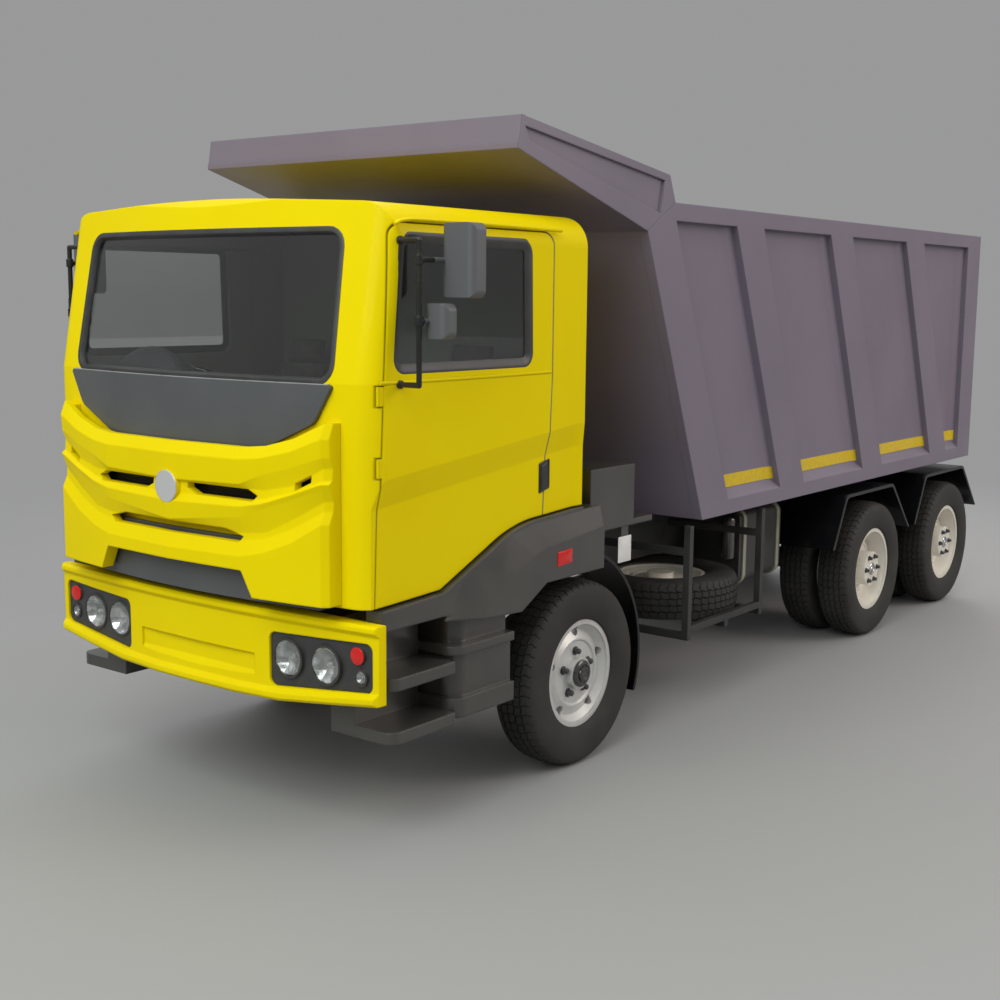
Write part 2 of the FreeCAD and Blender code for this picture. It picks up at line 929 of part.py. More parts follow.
def tyre(name, outer_face, y, edge):
    """Tyre of revolution with a flat tread and sloping shoulders, on a rim of an edge radius."""
    crown = s.tyre_radius
    seat = edge + s.rim_seat
    inner_face = outer_face - s.tyre_wide
    shoulder = s.tyre_wide * SHOULDER_SHARE
    widest = seat + (crown - seat) * WIDEST_SHARE
    corners = [
        (inner_face + shoulder, seat),
        (outer_face - shoulder, seat),
        (outer_face, widest),
        (outer_face - shoulder * ROLL_SHARE, crown - shoulder),
        (outer_face - shoulder, crown),
        (inner_face + shoulder, crown),
        (inner_face + shoulder * ROLL_SHARE, crown - shoulder),
        (inner_face, widest),
    ]
    return turned(name, corners, y, wheel_z)


def rim(name, outer_face, y, edge, dish, hub):
    """Rim band and its disc, dished by a depth, with a lip round the disc and a hollow hub."""
    shoulder = s.tyre_wide * SHOULDER_SHARE
    thick = s.rim_thick
    low = outer_face - s.tyre_wide + shoulder
    high = outer_face - shoulder
    disc_x = high - dish
    well_x = disc_x - thick * 2
    well = edge * WELL_SHARE
    plate = edge * PLATE_SHARE
    lip = s.disc_lip
    hub_radius, hub_low, hub_high, bore = hub
    hub_section = [
        (hub_high, hub_radius),
        (hub_high, 0),
        (hub_high - thick, 0),
        (hub_high - thick, bore),
        (hub_low, bore),
        (hub_low, hub_radius),
    ]
    section = [
        (low, edge - thick),
        (low, edge),
        (high, edge),
        (high, edge - thick * 2),
        (high - thick, edge - thick * 2),
        (well_x + thick, well),
        (disc_x + lip, plate),
        (disc_x + lip, plate - lip),
        (disc_x, plate - lip * 2),
        (disc_x, hub_radius),
        *hub_section,
        (disc_x - thick, hub_radius),
        (disc_x - thick, plate - thick / 2),
        (well_x, well - thick / 2),
        (well_x, edge - thick),
    ]
    return turned(name, section, y, wheel_z)


FRONT_HOLES = 5
DRIVE_HOLES = 3


def hand_holes(name, span, y, ring, radius, count):
    """Cutters for the hand holes round a wheel's disc, the first one at the top."""
    holes = []
    for number in range(count):
        angle = 2 * math.pi * number / count
        hole_y = ring * math.sin(angle) + y
        hole_z = ring * math.cos(angle) + wheel_z
        holes.append(rod(f"{name}_{number}", "x", span, hole_y, hole_z, radius))
    return holes


def front_wheels():
    """Front tyres and rims, one of each a side."""
    edge = s.front_rim_radius
    face = s.front_tyre_face
    rubber = tyre("front_tyre", face, 0, edge)
    hub_low = s.kingpin_x + s.kingpin_boss_radius + s.running_gap * 2 + s.kingpin_radius
    hub = (s.front_hub_radius, hub_low, face - s.rim_thick * 2, s.spindle_radius + s.turning_fit)
    disc = rim("front_rim_disc", face, 0, edge, s.front_dish, hub)
    span = (face - s.tyre_wide, face)
    holes = hand_holes("front_hand_hole", span, 0, s.front_hand_ring, s.front_hand_hole, FRONT_HOLES)
    metal = cut("front_rim", disc, *holes)
    node("front_tyre_left", rubber)
    node("front_tyre_right", mirrored(rubber))
    node("front_rim_left", metal)
    node("front_rim_right", mirrored(metal))


def twin_rim(name, face, y):
    """Outer and inner rim of a twin wheel, back to back on one hub."""
    bore = s.drive_spindle_radius + s.turning_fit
    inner_face = face - s.twin_step
    shoulder = s.tyre_wide * SHOULDER_SHARE
    hub_low = inner_face - s.tyre_wide + s.running_gap
    hub = (s.drive_hub_radius, hub_low, face - shoulder, bore)
    edge = s.rear_rim_radius
    outer = rim(name + "_outer", face, y, edge, s.drive_dish, hub)
    thick = s.rim_thick
    plate = edge * PLATE_SHARE
    disc_x = face - shoulder - s.drive_dish - thick
    low = inner_face - s.tyre_wide + shoulder
    section = [
        (low, edge - thick),
        (low, edge),
        (inner_face - shoulder, edge),
        (disc_x, plate),
        (disc_x, s.drive_hub_radius),
        (disc_x - thick, s.drive_hub_radius),
        (disc_x - thick, plate - thick / 2),
        (inner_face - shoulder - thick * 2, edge - thick),
    ]
    inner = turned(name + "_inner", section, y, wheel_z)
    span = (inner_face - s.tyre_wide, face)
    holes = hand_holes(name + "_hand_hole", span, y, s.drive_hand_ring, s.drive_hand_hole, DRIVE_HOLES)
    return cut(name, join(name + "_pair", outer, inner), *holes)


def rear_wheels():
    """Twin tyres and twin rims, one body a side on each drive axle."""
    edge = s.rear_rim_radius
    face = s.rear_tyre_face
    for number, y in enumerate(axle_ys, start=1):
        tyres = []
        for name, tyre_face in (("outer_tyre", face), ("inner_tyre", face - s.twin_step)):
            tyres.append(tyre(f"{name}_{number}", tyre_face, y, edge))
        metal = twin_rim(f"twin_rim_{number}", face, y)
        node(f"drive_tyres_{number}_left", *tyres)
        node(f"drive_tyres_{number}_right", *[mirrored(rubber) for rubber in tyres])
        node(f"drive_rims_{number}_left", metal)
        node(f"drive_rims_{number}_right", mirrored(metal))


def knuckle():
    """Steering knuckle: a fork round the axle's eye, its kingpin, and the wheel's spindle."""
    x = s.kingpin_x
    gap = s.kingpin_boss_half + s.running_gap
    fork_thick = s.kingpin_boss_half
    fork_high = gap + fork_thick / 2
    reach = s.kingpin_boss_radius
    back = x + reach + s.running_gap
    solids = [rod("kingpin", "z", x, 0, (wheel_z - fork_high, wheel_z + fork_high), s.kingpin_radius)]
    for name, low, high in (("fork_foot", -fork_high, -gap), ("fork_head", gap, fork_high)):
        arm = block(
            name,
            (x - reach / 2, back + s.kingpin_radius),
            (-reach / 2, reach / 2),
            (wheel_z + low, wheel_z + high),
        )
        solids.append(arm)
    plate = block(
        "knuckle_plate",
        (back, back + s.kingpin_radius),
        (-reach, reach),
        (wheel_z - fork_high, wheel_z + fork_high),
    )
    spindle_x = (back, s.front_tyre_face - s.tyre_wide * SHOULDER_SHARE * 2)
    spindle = rod("front_spindle", "x", spindle_x, 0, wheel_z, s.spindle_radius)
    whole = join("knuckle_whole", *solids, plate, spindle)
    node("knuckle_left", whole)
    node("knuckle_right", mirrored(whole))


def cab_form(name, inset):
    """The cab's outer form, or the same form set in by a wall."""
    low = s.cab_floor + inset
    crown = s.roof_crown - inset
    half = s.cab_half - inset
    nose = s.cab_point - inset
    rake = s.cab_rake_share
    roof_front = nose - (s.roof_crown - s.cab_belt) * rake
    edge_bend = s.roof_edge_bend - inset
    side = slab(
        name + "_side",
        "side",
        [
            (-nose, low),
            (-s.arch_front_y, s.arch_front_z + inset, s.arch_bend),
            (-s.arch_top_y, s.arch_top_z + inset, s.arch_top_bend),
            (-s.cab_rear - inset, s.arch_rear_z + inset),
            (-s.cab_rear - inset, crown, edge_bend / 2),
            (-roof_front, crown, edge_bend),
            (-nose, s.cab_belt),
        ],
        -half,
        half,
    )
    front = slab(
        name + "_front",
        "front",
        [
            (-half, low),
            (half, low),
            (half, s.roof_side - inset, edge_bend),
            (0, crown, s.roof_crown_bend),
            (-half, s.roof_side - inset, edge_bend),
        ],
        -nose,
        -s.cab_rear - inset,
    )
    plan_corners = [
        (-half, 0),
        (-half, -s.cab_corner_y + inset, s.cab_corner_bend - inset),
        (0, -nose, s.cab_nose_bend),
        (half, -s.cab_corner_y + inset, s.cab_corner_bend - inset),
        (half, 0),
    ]
    lower = slab(name + "_lower", "plan", plan_corners, low, s.cab_belt)
    upper = slab(name + "_upper", "plan", plan_corners, s.cab_belt, s.cab_belt + s.cab_half)
    upper.Dir = Vector(0, rake.number, 1)
    return common(name, side, front, join(name + "_plan", lower, upper))


def door_outline(gap):
    """The door's edge seen from the side, grown by a gap."""
    return [
        (-s.door_front_low - gap, s.cab_floor - gap),
        (-s.arch_front_y, s.arch_front_z - gap, s.arch_bend),
        (-s.arch_top_y, s.arch_top_z - gap, s.arch_top_bend),
        (-s.door_rear_low + gap, s.arch_top_z - gap),
        (-s.door_rear_high + gap, s.cab_belt),
        (-s.door_rear_high + gap, s.door_high + gap, s.door_bend),
        (-s.door_front_high - gap, s.door_high + gap, s.door_bend),
        (-s.door_front_belt - gap, s.cab_belt),
    ]


def window_outline(inset):
    """The side window's opening, set in by a margin."""
    return [
        (-s.window_low_front + inset, s.window_low + inset, s.window_bend),
        (-s.window_low_rear - inset, s.window_low + inset, s.window_bend),
        (-s.window_high_rear - inset, s.window_high - inset, s.window_bend),
        (-s.window_high_front + inset, s.window_high - inset, s.window_bend),
    ]


def screen_outline(inset):
    """The windscreen's opening seen from the front, set in by a margin."""
    return [
        (-s.screen_low_half + inset, s.screen_low + inset, s.screen_bend),
        (s.screen_low_half - inset, s.screen_low + inset, s.screen_bend),
        (s.screen_high_half - inset, s.screen_high - inset, s.screen_bend),
        (-s.screen_high_half + inset, s.screen_high - inset, s.screen_bend),
    ]


def hinge_leaf(number):
    """One of a door's hinge leaves with its pin, and the notch for it in the cab's edge."""
    low = s.hinge_low + s.hinge_step * number
    high = low + s.hinge_high
    x = s.cab_half - s.hinge_inset
    room = s.hinge_room
    leaf_x = (s.cab_half - s.hinge_deep, x)
    leaf_y = (-s.door_front_low, -s.door_front_belt + s.hinge_deep)
    leaf = block(f"hinge_leaf_{number}", leaf_x, leaf_y, (low, high))
    pin = rod(f"hinge_pin_{number}", "z", x, -s.door_front_low, (low, high), s.hinge_pin_radius)
    foot_y = (-s.door_front_belt + s.shut_gap, -s.door_front_belt + s.hinge_deep)
    foot = block(f"hinge_foot_{number}", (s.cab_half - s.hinge_deep, s.cab_half), foot_y, (low, high))
    notch_x = (s.cab_half - s.hinge_deep - room, s.cab_half + room)
    notch_y = (-s.door_front_low - s.hinge_deep, -s.door_front_belt)
    notch = block(f"hinge_notch_{number}", notch_x, notch_y, (low - room, high + room))
    return join(f"hinge_{number}", leaf, pin, foot), notch


def crease_cutter():
    """Cutter for the crease across the cab's sides: it sets the lower part in, fading at the rear."""
    sections = []
    front = (s.crease_high_front, s.crease_low_front)
    rear = (s.crease_high_rear, s.crease_low_rear)
    stations = (
        (-s.cab_point - overrun, front, s.crease_deep),
        (-s.door_front_low, front, s.crease_deep),
        (-s.crease_rear, rear, s.crease_deep),
        (-s.cab_rear + s.cab_wall, rear, s.crease_fade),
    )
    for y, (high, low), deep in stations:
        corners = [
            (s.cab_half, high),
            (s.cab_half - deep, low),
            (s.cab_half - deep, s.cab_floor - s.cab_wall),
            (s.cab_half + s.cab_wall, s.cab_floor - s.cab_wall),
            (s.cab_half + s.cab_wall, high),
        ]
        sections.append((y, corners))
    return loft("crease_cutter", "front", sections)


def handle_recess():
    """Cutter for the door handle's recess in the rear of a door."""
    low = s.handle_low
    high = s.handle_high
    corners = [
        (-s.handle_front, low, s.handle_bend),
        (-s.handle_rear, low + s.handle_rise, s.handle_bend),
        (-s.handle_rear, high, s.handle_bend),
        (-s.handle_front, high - s.handle_rise, s.handle_bend),
    ]
    face = s.cab_half - s.crease_deep
    return slab("handle_recess", "side", corners, face - s.handle_deep, s.cab_half + overrun)


def cab():
    """Hollow cab shell with its doors cut out of the same wall, and the windscreen's glass."""
    outer = cab_form("cab_outer", as_size(0))
    inner = cab_form("cab_inner", s.cab_wall)
    creased = cut("cab_creased", outer, *both_sides(crease_cutter()))
    wall = cut("cab_wall_solid", creased, inner)
    screen_y = (-s.cab_point - s.cab_wall, -s.arch_front_y)
    screen_hole = slab("screen_hole", "front", screen_outline(as_size(0)), *screen_y)
    side_x = (s.cab_half - s.cab_wall, s.cab_half + s.cab_wall)
    door_hole = slab("door_hole", "side", door_outline(s.shut_gap / 2), *side_x)
    hinges = [hinge_leaf(number) for number in range(2)]
    notches = [notch for leaf, notch in hinges]
    holes = [screen_hole, *both_sides(door_hole, *notches)]
    node("cab_shell", cut("cab_shell_cut", wall, *holes))
    door_body = slab("door_body", "side", door_outline(-s.shut_gap / 2), *side_x)
    window_hole = slab("window_hole", "side", window_outline(as_size(0)), *side_x)
    panel = cut("door_panel", common("door_wall", wall, door_body), window_hole, handle_recess())
    door = join("door_whole", panel, *[leaf for leaf, notch in hinges])
    node("door_left", door)
    node("door_right", mirrored(door))
    glass_x = (s.cab_half - s.cab_wall / 2 - s.glass_thick, s.cab_half - s.cab_wall / 2)
    glass = slab("door_glass", "side", window_outline(as_size(0)), *glass_x)
    node("door_glass_left", glass)
    node("door_glass_right", mirrored(glass))
    glass_form = cut(
        "screen_form",
        cab_form("screen_outer", s.glass_inset),
        cab_form("screen_inner", s.glass_inset + s.glass_thick),
    )
    pane = slab("screen_pane", "front", screen_outline(as_size(0)), *screen_y)
    node("windscreen", common("windscreen_glass", glass_form, pane))


# Each edge that runs across the front panel: the shares of its rise to the side that it has
# reached at the panel's sections, from the middle outward, and the share of its proud height
PANEL_EDGE_SHARES = (
    ("panel_top", (0, 0, 0.10, 0.43, 1), 0.1),
    ("brow", (0, 0.02, 0.14, 0.46, 1), 0.95),
    ("upper_ridge", (0, 0.08, 0.40, 0.67, 1), 0.75),
    ("upper_foot", (0, 0.03, 0.02, 0.29, 1), 0.2),
    ("bar_top", (0, 0, 0.14, 0.50, 1), 0.35),
    ("bar_crest", (0, 0.10, 0.25, 0.60, 1), 1),
    ("lower_ridge", (0, 0.25, 0.47, 0.73, 1), 0.75),
    ("lower_foot", (0, -0.06, 0.02, 0.48, 1), 0.1),
    ("smile_top", (0, 0.07, 0.18, 0.52, 1), 0.2),
    ("smile_crest", (0, 0.03, 0.18, 0.50, 1), 1),
)


def panel_bow(x):
    """How far the front panel's bow has fallen back at a distance from the truck's middle."""
    return x * x / (s.panel_nose_bend * 2)


def panel_section(number, x, fall=0):
    """The front panel's section at one of its stations: ridges and grooves before, flat behind."""
    face_y = s.panel_proud - s.front_reach + panel_bow(x) + fall
    corners = []
    for name, rise_shares, proud_share in PANEL_EDGE_SHARES:
        middle = getattr(s, name + "_z")
        side = getattr(s, name + "_side_z")
        z = middle + (side - middle) * rise_shares[number]
        corners.append((face_y - s.panel_proud * proud_share, z))
    corners.append((face_y - s.panel_proud * PANEL_EDGE_SHARES[-1][-1], s.panel_low))
    corners.append((-s.panel_back, s.panel_low))
    corners.append((-s.panel_back, corners[0][1]))
    return (x, corners)


def panel_slots():
    """Cutters for the air slots: two above, one below, and a short one at each side."""
    face = (-s.front_reach - overrun, -s.panel_back)
    high = s.slot_upper_high
    low = s.slot_upper_low
    middle = (high + low) / 2
    tip = s.slot_tip
    upper = [
        (s.slot_upper_in, middle),
        (s.slot_upper_in, high),
        (s.slot_upper_out - tip, high),
        (s.slot_upper_out, middle),
        (s.slot_upper_out - tip / 2, low),
        (s.slot_upper_in + tip, low),
    ]
    side = [
        (s.side_slot_in, s.side_slot_low),
        (s.side_slot_out, s.side_slot_low + s.side_slot_rise),
        (s.side_slot_out, s.side_slot_low + s.side_slot_rise + s.side_slot_high),
        (s.side_slot_in, s.side_slot_low + s.side_slot_high),
    ]
    high = s.slot_lower_high
    low = s.slot_lower_low
    half = s.slot_lower_half
    lower = [
        (-half, (high + low) / 2),
        (-half + tip / 2, low),
        (half - tip / 2, low),
        (half, (high + low) / 2),
        (half - tip * 2, high),
        (-half + tip * 2, high),
    ]
    pair = [slab("upper_slot", "front", upper, *face), slab("side_slot", "front", side, *face)]
    return [slab("lower_slot", "front", lower, *face), *both_sides(*pair)]


def front_panel():
    """Bowed front panel: beams that sweep up to the sides, air slots, and a notch over the bumper."""
    stations = [s.panel_middle_x, s.panel_slot_x, s.panel_pad_x, s.panel_cheek_x, s.panel_side_x]
    sections = [panel_section(number, x) for number, x in enumerate(stations)]
    last = len(stations) - 1
    edge = panel_section(last, s.panel_side_x, s.panel_side_fall)
    sections.append((s.panel_side_x + s.panel_side_fall, edge[1]))
    half = loft("panel_half", "side", sections)
    room_half = s.panel_side_x - s.panel_wall
    arc = []
    for x in (room_half, s.panel_pad_x, as_size(0), -s.panel_pad_x, -room_half):
        arc.append((x, s.panel_thick + s.panel_proud - s.front_reach + panel_bow(x)))
    arc.extend([(-room_half, -s.panel_back + overrun), (room_half, -s.panel_back + overrun)])
    room = slab("panel_room", "plan", arc, s.panel_low - overrun, s.cab_belt)
    notch = slab(
        "panel_notch",
        "front",
        [
            (-s.notch_low_half, s.panel_low - s.panel_thick),
            (s.notch_low_half, s.panel_low - s.panel_thick),
            (s.notch_low_half, s.panel_low),
            (s.notch_high_half, s.notch_high, s.panel_seam),
            (-s.notch_high_half, s.notch_high, s.panel_seam),
            (-s.notch_low_half, s.panel_low),
        ],
        -s.front_reach - overrun,
        -s.panel_back,
    )
    cab_room = cab_form("panel_cab_room", as_size(0))
    emblem_y = (-s.front_reach, -s.front_reach + s.panel_proud + s.emblem_thick)
    emblem = rod("emblem_place", "y", 0, emblem_y, s.emblem_z, s.emblem_radius)
    whole = join("panel_whole", half, mirrored(half))
    hollow = cut("panel_hollow", whole, room, notch, cab_room, *panel_slots())
    node("front_panel", join("panel_finished", hollow, emblem))


def nose_cowl(layer):
    """Dark cowl on the cab's nose that shows through the front panel's slots and notch."""
    low = s.cab_floor - s.band_thick
    face_x = (-s.cowl_half, s.cowl_half)
    face = block("cowl_face", face_x, (-s.front_reach, -s.panel_back), (low, s.cowl_high))
    return common("nose_cowl_sheet", layer, face)


def windscreen_band():
    """Dark trim panel under the windscreen, following the cab's nose, and the cowl below it."""
    layer = cut(
        "band_layer",
        cab_form("band_outer", -s.band_thick),
        cab_form("band_inner", as_size(0)),
    )
    face = slab(
        "band_face",
        "front",
        [
            (-s.band_low_half, s.band_low, s.band_bend),
            (s.band_low_half, s.band_low, s.band_bend),
            (s.band_side_half, s.band_side_low, s.band_bend),
            (s.band_high_half, s.band_high, s.panel_seam),
            (-s.band_high_half, s.band_high, s.panel_seam),
            (-s.band_side_half, s.band_side_low, s.band_bend),
        ],
        -s.front_reach - overrun,
        -s.cab_corner_y,
    )
    band = common("windscreen_band_panel", layer, face)
    node("windscreen_band", band, nose_cowl(layer))


def lamp_outline(inset):
    """The lamp recess at one end of the bumper, set in by a margin."""
    bend = s.lamp_bend
    inner_x = s.cab_half - s.lamp_inner_set + inset
    outer_x = s.cab_half - s.lamp_outer_set - inset
    return [
        (inner_x, s.lamp_low + inset, bend),
        (outer_x, s.lamp_outer_low + inset, bend),
        (outer_x, s.lamp_outer_high - inset, bend),
        (inner_x, s.lamp_high - inset, bend),
    ]


def bumper_side():
    """Half width over the bumper, which stands out from the cab's side."""
    return s.cab_half + s.bumper_out


# The bumper's stations from the middle to its end, as shares of its half width, and the share
# of its bottom's rise that each has reached
BUMPER_SHARES = (0, 0.25, 0.5, 0.75, 1)
BUMPER_RISE_SHARES = (0, 0, 0.12, 0.56, 1)


def bumper_bow(share):
    """Where the bumper's face lies at a share of its half width."""
    return (s.bumper_front - s.bumper_end_front) * (share * share) - s.bumper_front


def bumper_section(share, rise_share):
    """The bumper's section at one station: a round foot, a lip, an inset face and a brim."""
    face = bumper_bow(share)
    inset = face + s.bumper_inset
    low = s.bumper_low + (s.bumper_end_low - s.bumper_low) * rise_share
    high = s.bumper_high
    corners = [
        (-s.bumper_back, low),
        (-s.bumper_back, high),
        (face + s.brim_inset + s.bumper_round, high),
        (face + s.brim_inset, high - s.bumper_round),
        (face + s.brim_inset, high - s.brim_high),
        (inset, high - s.brim_low),
        (inset, low + s.lip_high),
        (face, low + s.lip_low),
        (face, low + s.bumper_round),
        (face + s.bumper_round, low),
    ]
    return (bumper_side() * share, corners)


def bumper():
    """Deep bumper with a lip and a brim, a lamp recess at each end and a plate's place between."""
    sections = []
    for share, rise_share in zip(BUMPER_SHARES, BUMPER_RISE_SHARES):
        sections.append(bumper_section(share, rise_share))
    half = loft("bumper_half_bar", "side", sections)
    far = s.bumper_front + s.corner_reach
    inner_x = bumper_side() * BUMPER_SHARES[3]
    plan = [
        (-bumper_side(), -s.bumper_back),
        (-bumper_side(), -s.bumper_end_front, s.bumper_bend),
        (-inner_x, -far),
        (inner_x, -far),
        (bumper_side(), -s.bumper_end_front, s.bumper_bend),
        (bumper_side(), -s.bumper_back),
    ]
    keep = slab("bumper_keep", "plan", plan, s.bumper_low, s.bumper_high)
    recess_y = (-s.bumper_front - overrun, -s.bumper_back - s.lamp_depth)
    recess = slab("lamp_recess", "front", lamp_outline(as_size(0)), *recess_y)
    face = bumper_bow(0) + s.bumper_inset
    plate = slab(
        "plate_place",
        "side",
        [
            (face - overrun, s.plate_low),
            (face, s.plate_low),
            (face + s.plate_deep, s.plate_floor),
            (face + s.plate_deep, s.plate_high),
            (face - overrun, s.plate_high),
        ],
        -s.plate_half,
        s.plate_half,
    )
    whole = common("bumper_whole", join("bumper_bar", half, mirrored(half)), keep)
    node("bumper", cut("bumper_cut", whole, plate, *both_sides(recess)))


def lamp_face(x):
    """Where the lamp housing's face lies at a distance from the truck's middle."""
    return bumper_bow(x / bumper_side()) + s.bumper_inset + s.lamp_set


def headlamps():
    """Lamp housings in the bumper's recesses, each with the rings and bowls of four round lamps."""
    back = -s.bumper_back - s.lamp_depth
    form = slab("lamp_form", "front", lamp_outline(s.lamp_fit), -s.bumper_front, back)
    inner_x = s.cab_half - s.lamp_inner_set
    outer_x = s.cab_half - s.lamp_outer_set
    plan = [
        (inner_x, back),
        (inner_x, lamp_face(inner_x)),
        (outer_x, lamp_face(outer_x)),
        (outer_x, back),
    ]
    body = slab("lamp_body", "plan", plan, s.lamp_low, s.lamp_outer_high)
    housing = common("lamp_housing", form, body)
    big = s.big_lamp_radius
    small = s.small_lamp_radius
    big_x = s.cab_half - s.big_lamp_set
    side_x = s.cab_half - s.side_lamp_set
    lamps = [
        (big_x, s.big_lamp_z, big, s.big_lamp_deep),
        (big_x + s.big_lamp_step, s.big_lamp_z, big, s.big_lamp_deep),
        (side_x, s.side_lamp_z, small, s.small_lamp_deep),
        (side_x + s.side_lamp_step_x, s.side_lamp_z - s.side_lamp_drop, small, s.small_lamp_deep),
    ]
    rings = []
    bowls = []
    for number, (x, z, radius, deep) in enumerate(lamps):
        face = lamp_face(x)
        front = face - s.lamp_proud
        bowl_y = (front - s.lamp_proud, face + deep)
        rings.append(rod(f"lamp_ring_{number}", "y", x, (front, back), z, radius))
        bowls.append(rod(f"lamp_bowl_{number}", "y", x, bowl_y, z, radius - s.lamp_ring))
    whole = cut("lamp_unit", join("lamp_unit_whole", housing, *rings), *bowls)
    node("headlamps", *both_sides(whole))


def step_tier(name, inset, low, high):
    """One tier of the step box: a block with its front outer corner rounded."""
    corners = [
        (s.step_inner, -s.step_box_front + inset),
        (s.cab_half + s.step_out - inset, -s.step_box_front + inset, s.step_box_bend),
        (s.cab_half + s.step_out - inset, -s.step_rear),
        (s.step_inner, -s.step_rear),
    ]
    return slab(name, "plan", corners, low, high)


def steps():
    """Two-tread entry step in front of a moulded side box with two ledges and a neck."""
    treads = []
    for name, z in (("upper_tread", s.step_upper), ("lower_tread", s.step_lower)):
        corners = [
            (s.step_back_x, -s.step_front),
            (s.cab_half + s.step_out, -s.step_front, s.step_thick),
            (s.cab_half + s.step_out, -s.step_box_front),
            (s.step_back_x, -s.step_box_front),
        ]
        treads.append(slab(name, "plan", corners, z - s.step_thick, z))
    back = block(
        "step_back",
        (s.step_inner, s.step_back_x),
        (-s.step_front, -s.step_box_front),
        (s.step_lower - s.step_thick, s.panel_low - s.step_thick * 2),
    )
    neck = step_tier("step_box_neck_whole", s.step_column_inset, s.step_box_high, s.trim_foot_low)
    under_trim = slab(
        "under_trim",
        "side",
        [
            (-s.arch_front_y, s.step_box_high),
            (-s.arch_inner_front, s.step_box_high),
            (-s.arch_inner_front, s.arch_inner_low),
            (-s.arch_front_y, s.trim_foot_low),
        ],
        s.step_inner,
        s.cab_half + s.step_out,
    )
    tiers = [
        step_tier("step_box_foot", as_size(0), s.step_box_low, s.step_ledge_low),
        step_tier("step_box_waist", s.step_box_inset, s.step_ledge_low, s.step_ledge_high),
        step_tier("step_box_head", as_size(0), s.step_ledge_high, s.step_box_high),
        common("step_box_neck", neck, under_trim),
    ]
    node("steps", *both_sides(join("step_unit", *treads, back, *tiers)))


# Corners of the arch trim's flare from its foot to the rear: y and z where it leaves the cab's
# side, and y and z at its outer edge, as shares of the flare's length and height
FLARE_INNER_SHARES = ((1, 0.11), (0.89, 0.475), (0.76, 0.725), (0.61, 0.87), (0.46, 0.95), (0, 1))
FLARE_OUTER_SHARES = ((0.81, 0.045), (0.72, 0.28), (0.6, 0.46), (0.48, 0.6), (0.38, 0.66), (0, 0.76))


def flare_outline(shares):
    """Outline of the flare: its top by shares, and the wheel arch below."""
    long = s.arch_front_y + s.trim_rear
    rise = s.flare_rear_high - s.arch_inner_low
    corners = []
    for long_share, rise_share in shares:
        corners.append((s.trim_rear - long * long_share, s.arch_inner_low + rise * rise_share))
    corners.append((s.trim_rear, s.arch_inner_rear_z))
    corners.append((-s.arch_knee_y, s.arch_inner_rear_z))
    corners.append((-s.arch_inner_front, s.arch_inner_low))
    return corners


def arch_trims():
    """Dark trim under the doors that flares out over the front wheels."""
    gap = s.trim_gap
    corners = [
        (-s.bumper_back + s.running_gap, s.trim_foot_low),
        (-s.arch_front_y, s.trim_foot_low),
        (-s.arch_inner_front, s.arch_inner_low),
        (-s.arch_knee_y, s.arch_inner_rear_z),
        (s.trim_rear, s.arch_inner_rear_z),
        (s.trim_rear, s.flare_rear_high),
        (-s.cab_rear, s.flare_rear_high),
        (-s.cab_rear, s.arch_rear_z - gap),
        (-s.arch_top_y, s.arch_top_z - gap, s.arch_top_bend),
        (-s.arch_front_y, s.arch_front_z - gap, s.arch_bend),
        (-s.bumper_back + s.running_gap, s.cab_floor - gap),
    ]
    base = s.cab_half + s.flare_base
    edge = s.cab_half + s.trim_out
    strip = slab("arch_trim_strip", "side", corners, s.trim_inner, base)
    flare = loft(
        "arch_flare",
        "side",
        [(base, flare_outline(FLARE_INNER_SHARES)), (edge, flare_outline(FLARE_OUTER_SHARES))],
    )
    node("arch_trims", *both_sides(join("arch_trim", strip, flare)))


def drive_guard(number, y):
    """Round-shouldered guard over a drive wheel, open below."""
    thick = s.guard_thick
    bend = s.guard_bend
    x = (s.guard_inner, s.cab_half + s.guard_out)
    outer = slab(
        f"drive_guard_{number}_outer",
        "side",
        [
            (y - s.guard_foot_front, s.guard_low),
            (y + s.guard_foot_rear, s.guard_low),
            (y + s.guard_top_rear, s.guard_high, bend),
            (y - s.guard_top_front, s.guard_high, bend),
        ],
        *x,
    )
    inner = slab(
        f"drive_guard_{number}_inner",
        "side",
        [
            (y - s.guard_foot_front + thick, s.guard_low - overrun),
            (y - s.guard_foot_front + thick, s.guard_low),
            (y - s.guard_top_front + thick / 2, s.guard_high - thick, bend - thick),
            (y + s.guard_top_rear - thick / 2, s.guard_high - thick, bend - thick),
            (y + s.guard_foot_rear - thick, s.guard_low),
            (y + s.guard_foot_rear - thick, s.guard_low - overrun),
        ],
        s.guard_inner - thick,
        s.cab_half + s.guard_out + thick,
    )
    return cut(f"drive_guard_{number}", outer, inner)


def front_flap():
    """Curved guard behind a front wheel, hanging from the arch trim."""
    x = (s.flap_inner, s.flap_outer)
    outer = rod("front_flap_outer", "x", x, 0, wheel_z, s.flap_radius)
    inner = rod("front_flap_inner", "x", x, 0, wheel_z, s.flap_radius - s.flap_thick)
    keep = block("front_flap_keep", x, (s.trim_rear, s.flap_radius), (s.flap_low, wheel_z + s.flap_radius))
    return common("front_flap", cut("front_flap_ring", outer, inner), keep)


def mudguards():
    """Flaps behind the front wheels and guards over the drive wheels."""
    guards = [drive_guard(number, y) for number, y in enumerate(axle_ys)]
    guards.append(front_flap())
    node("mudguards", *both_sides(*guards))


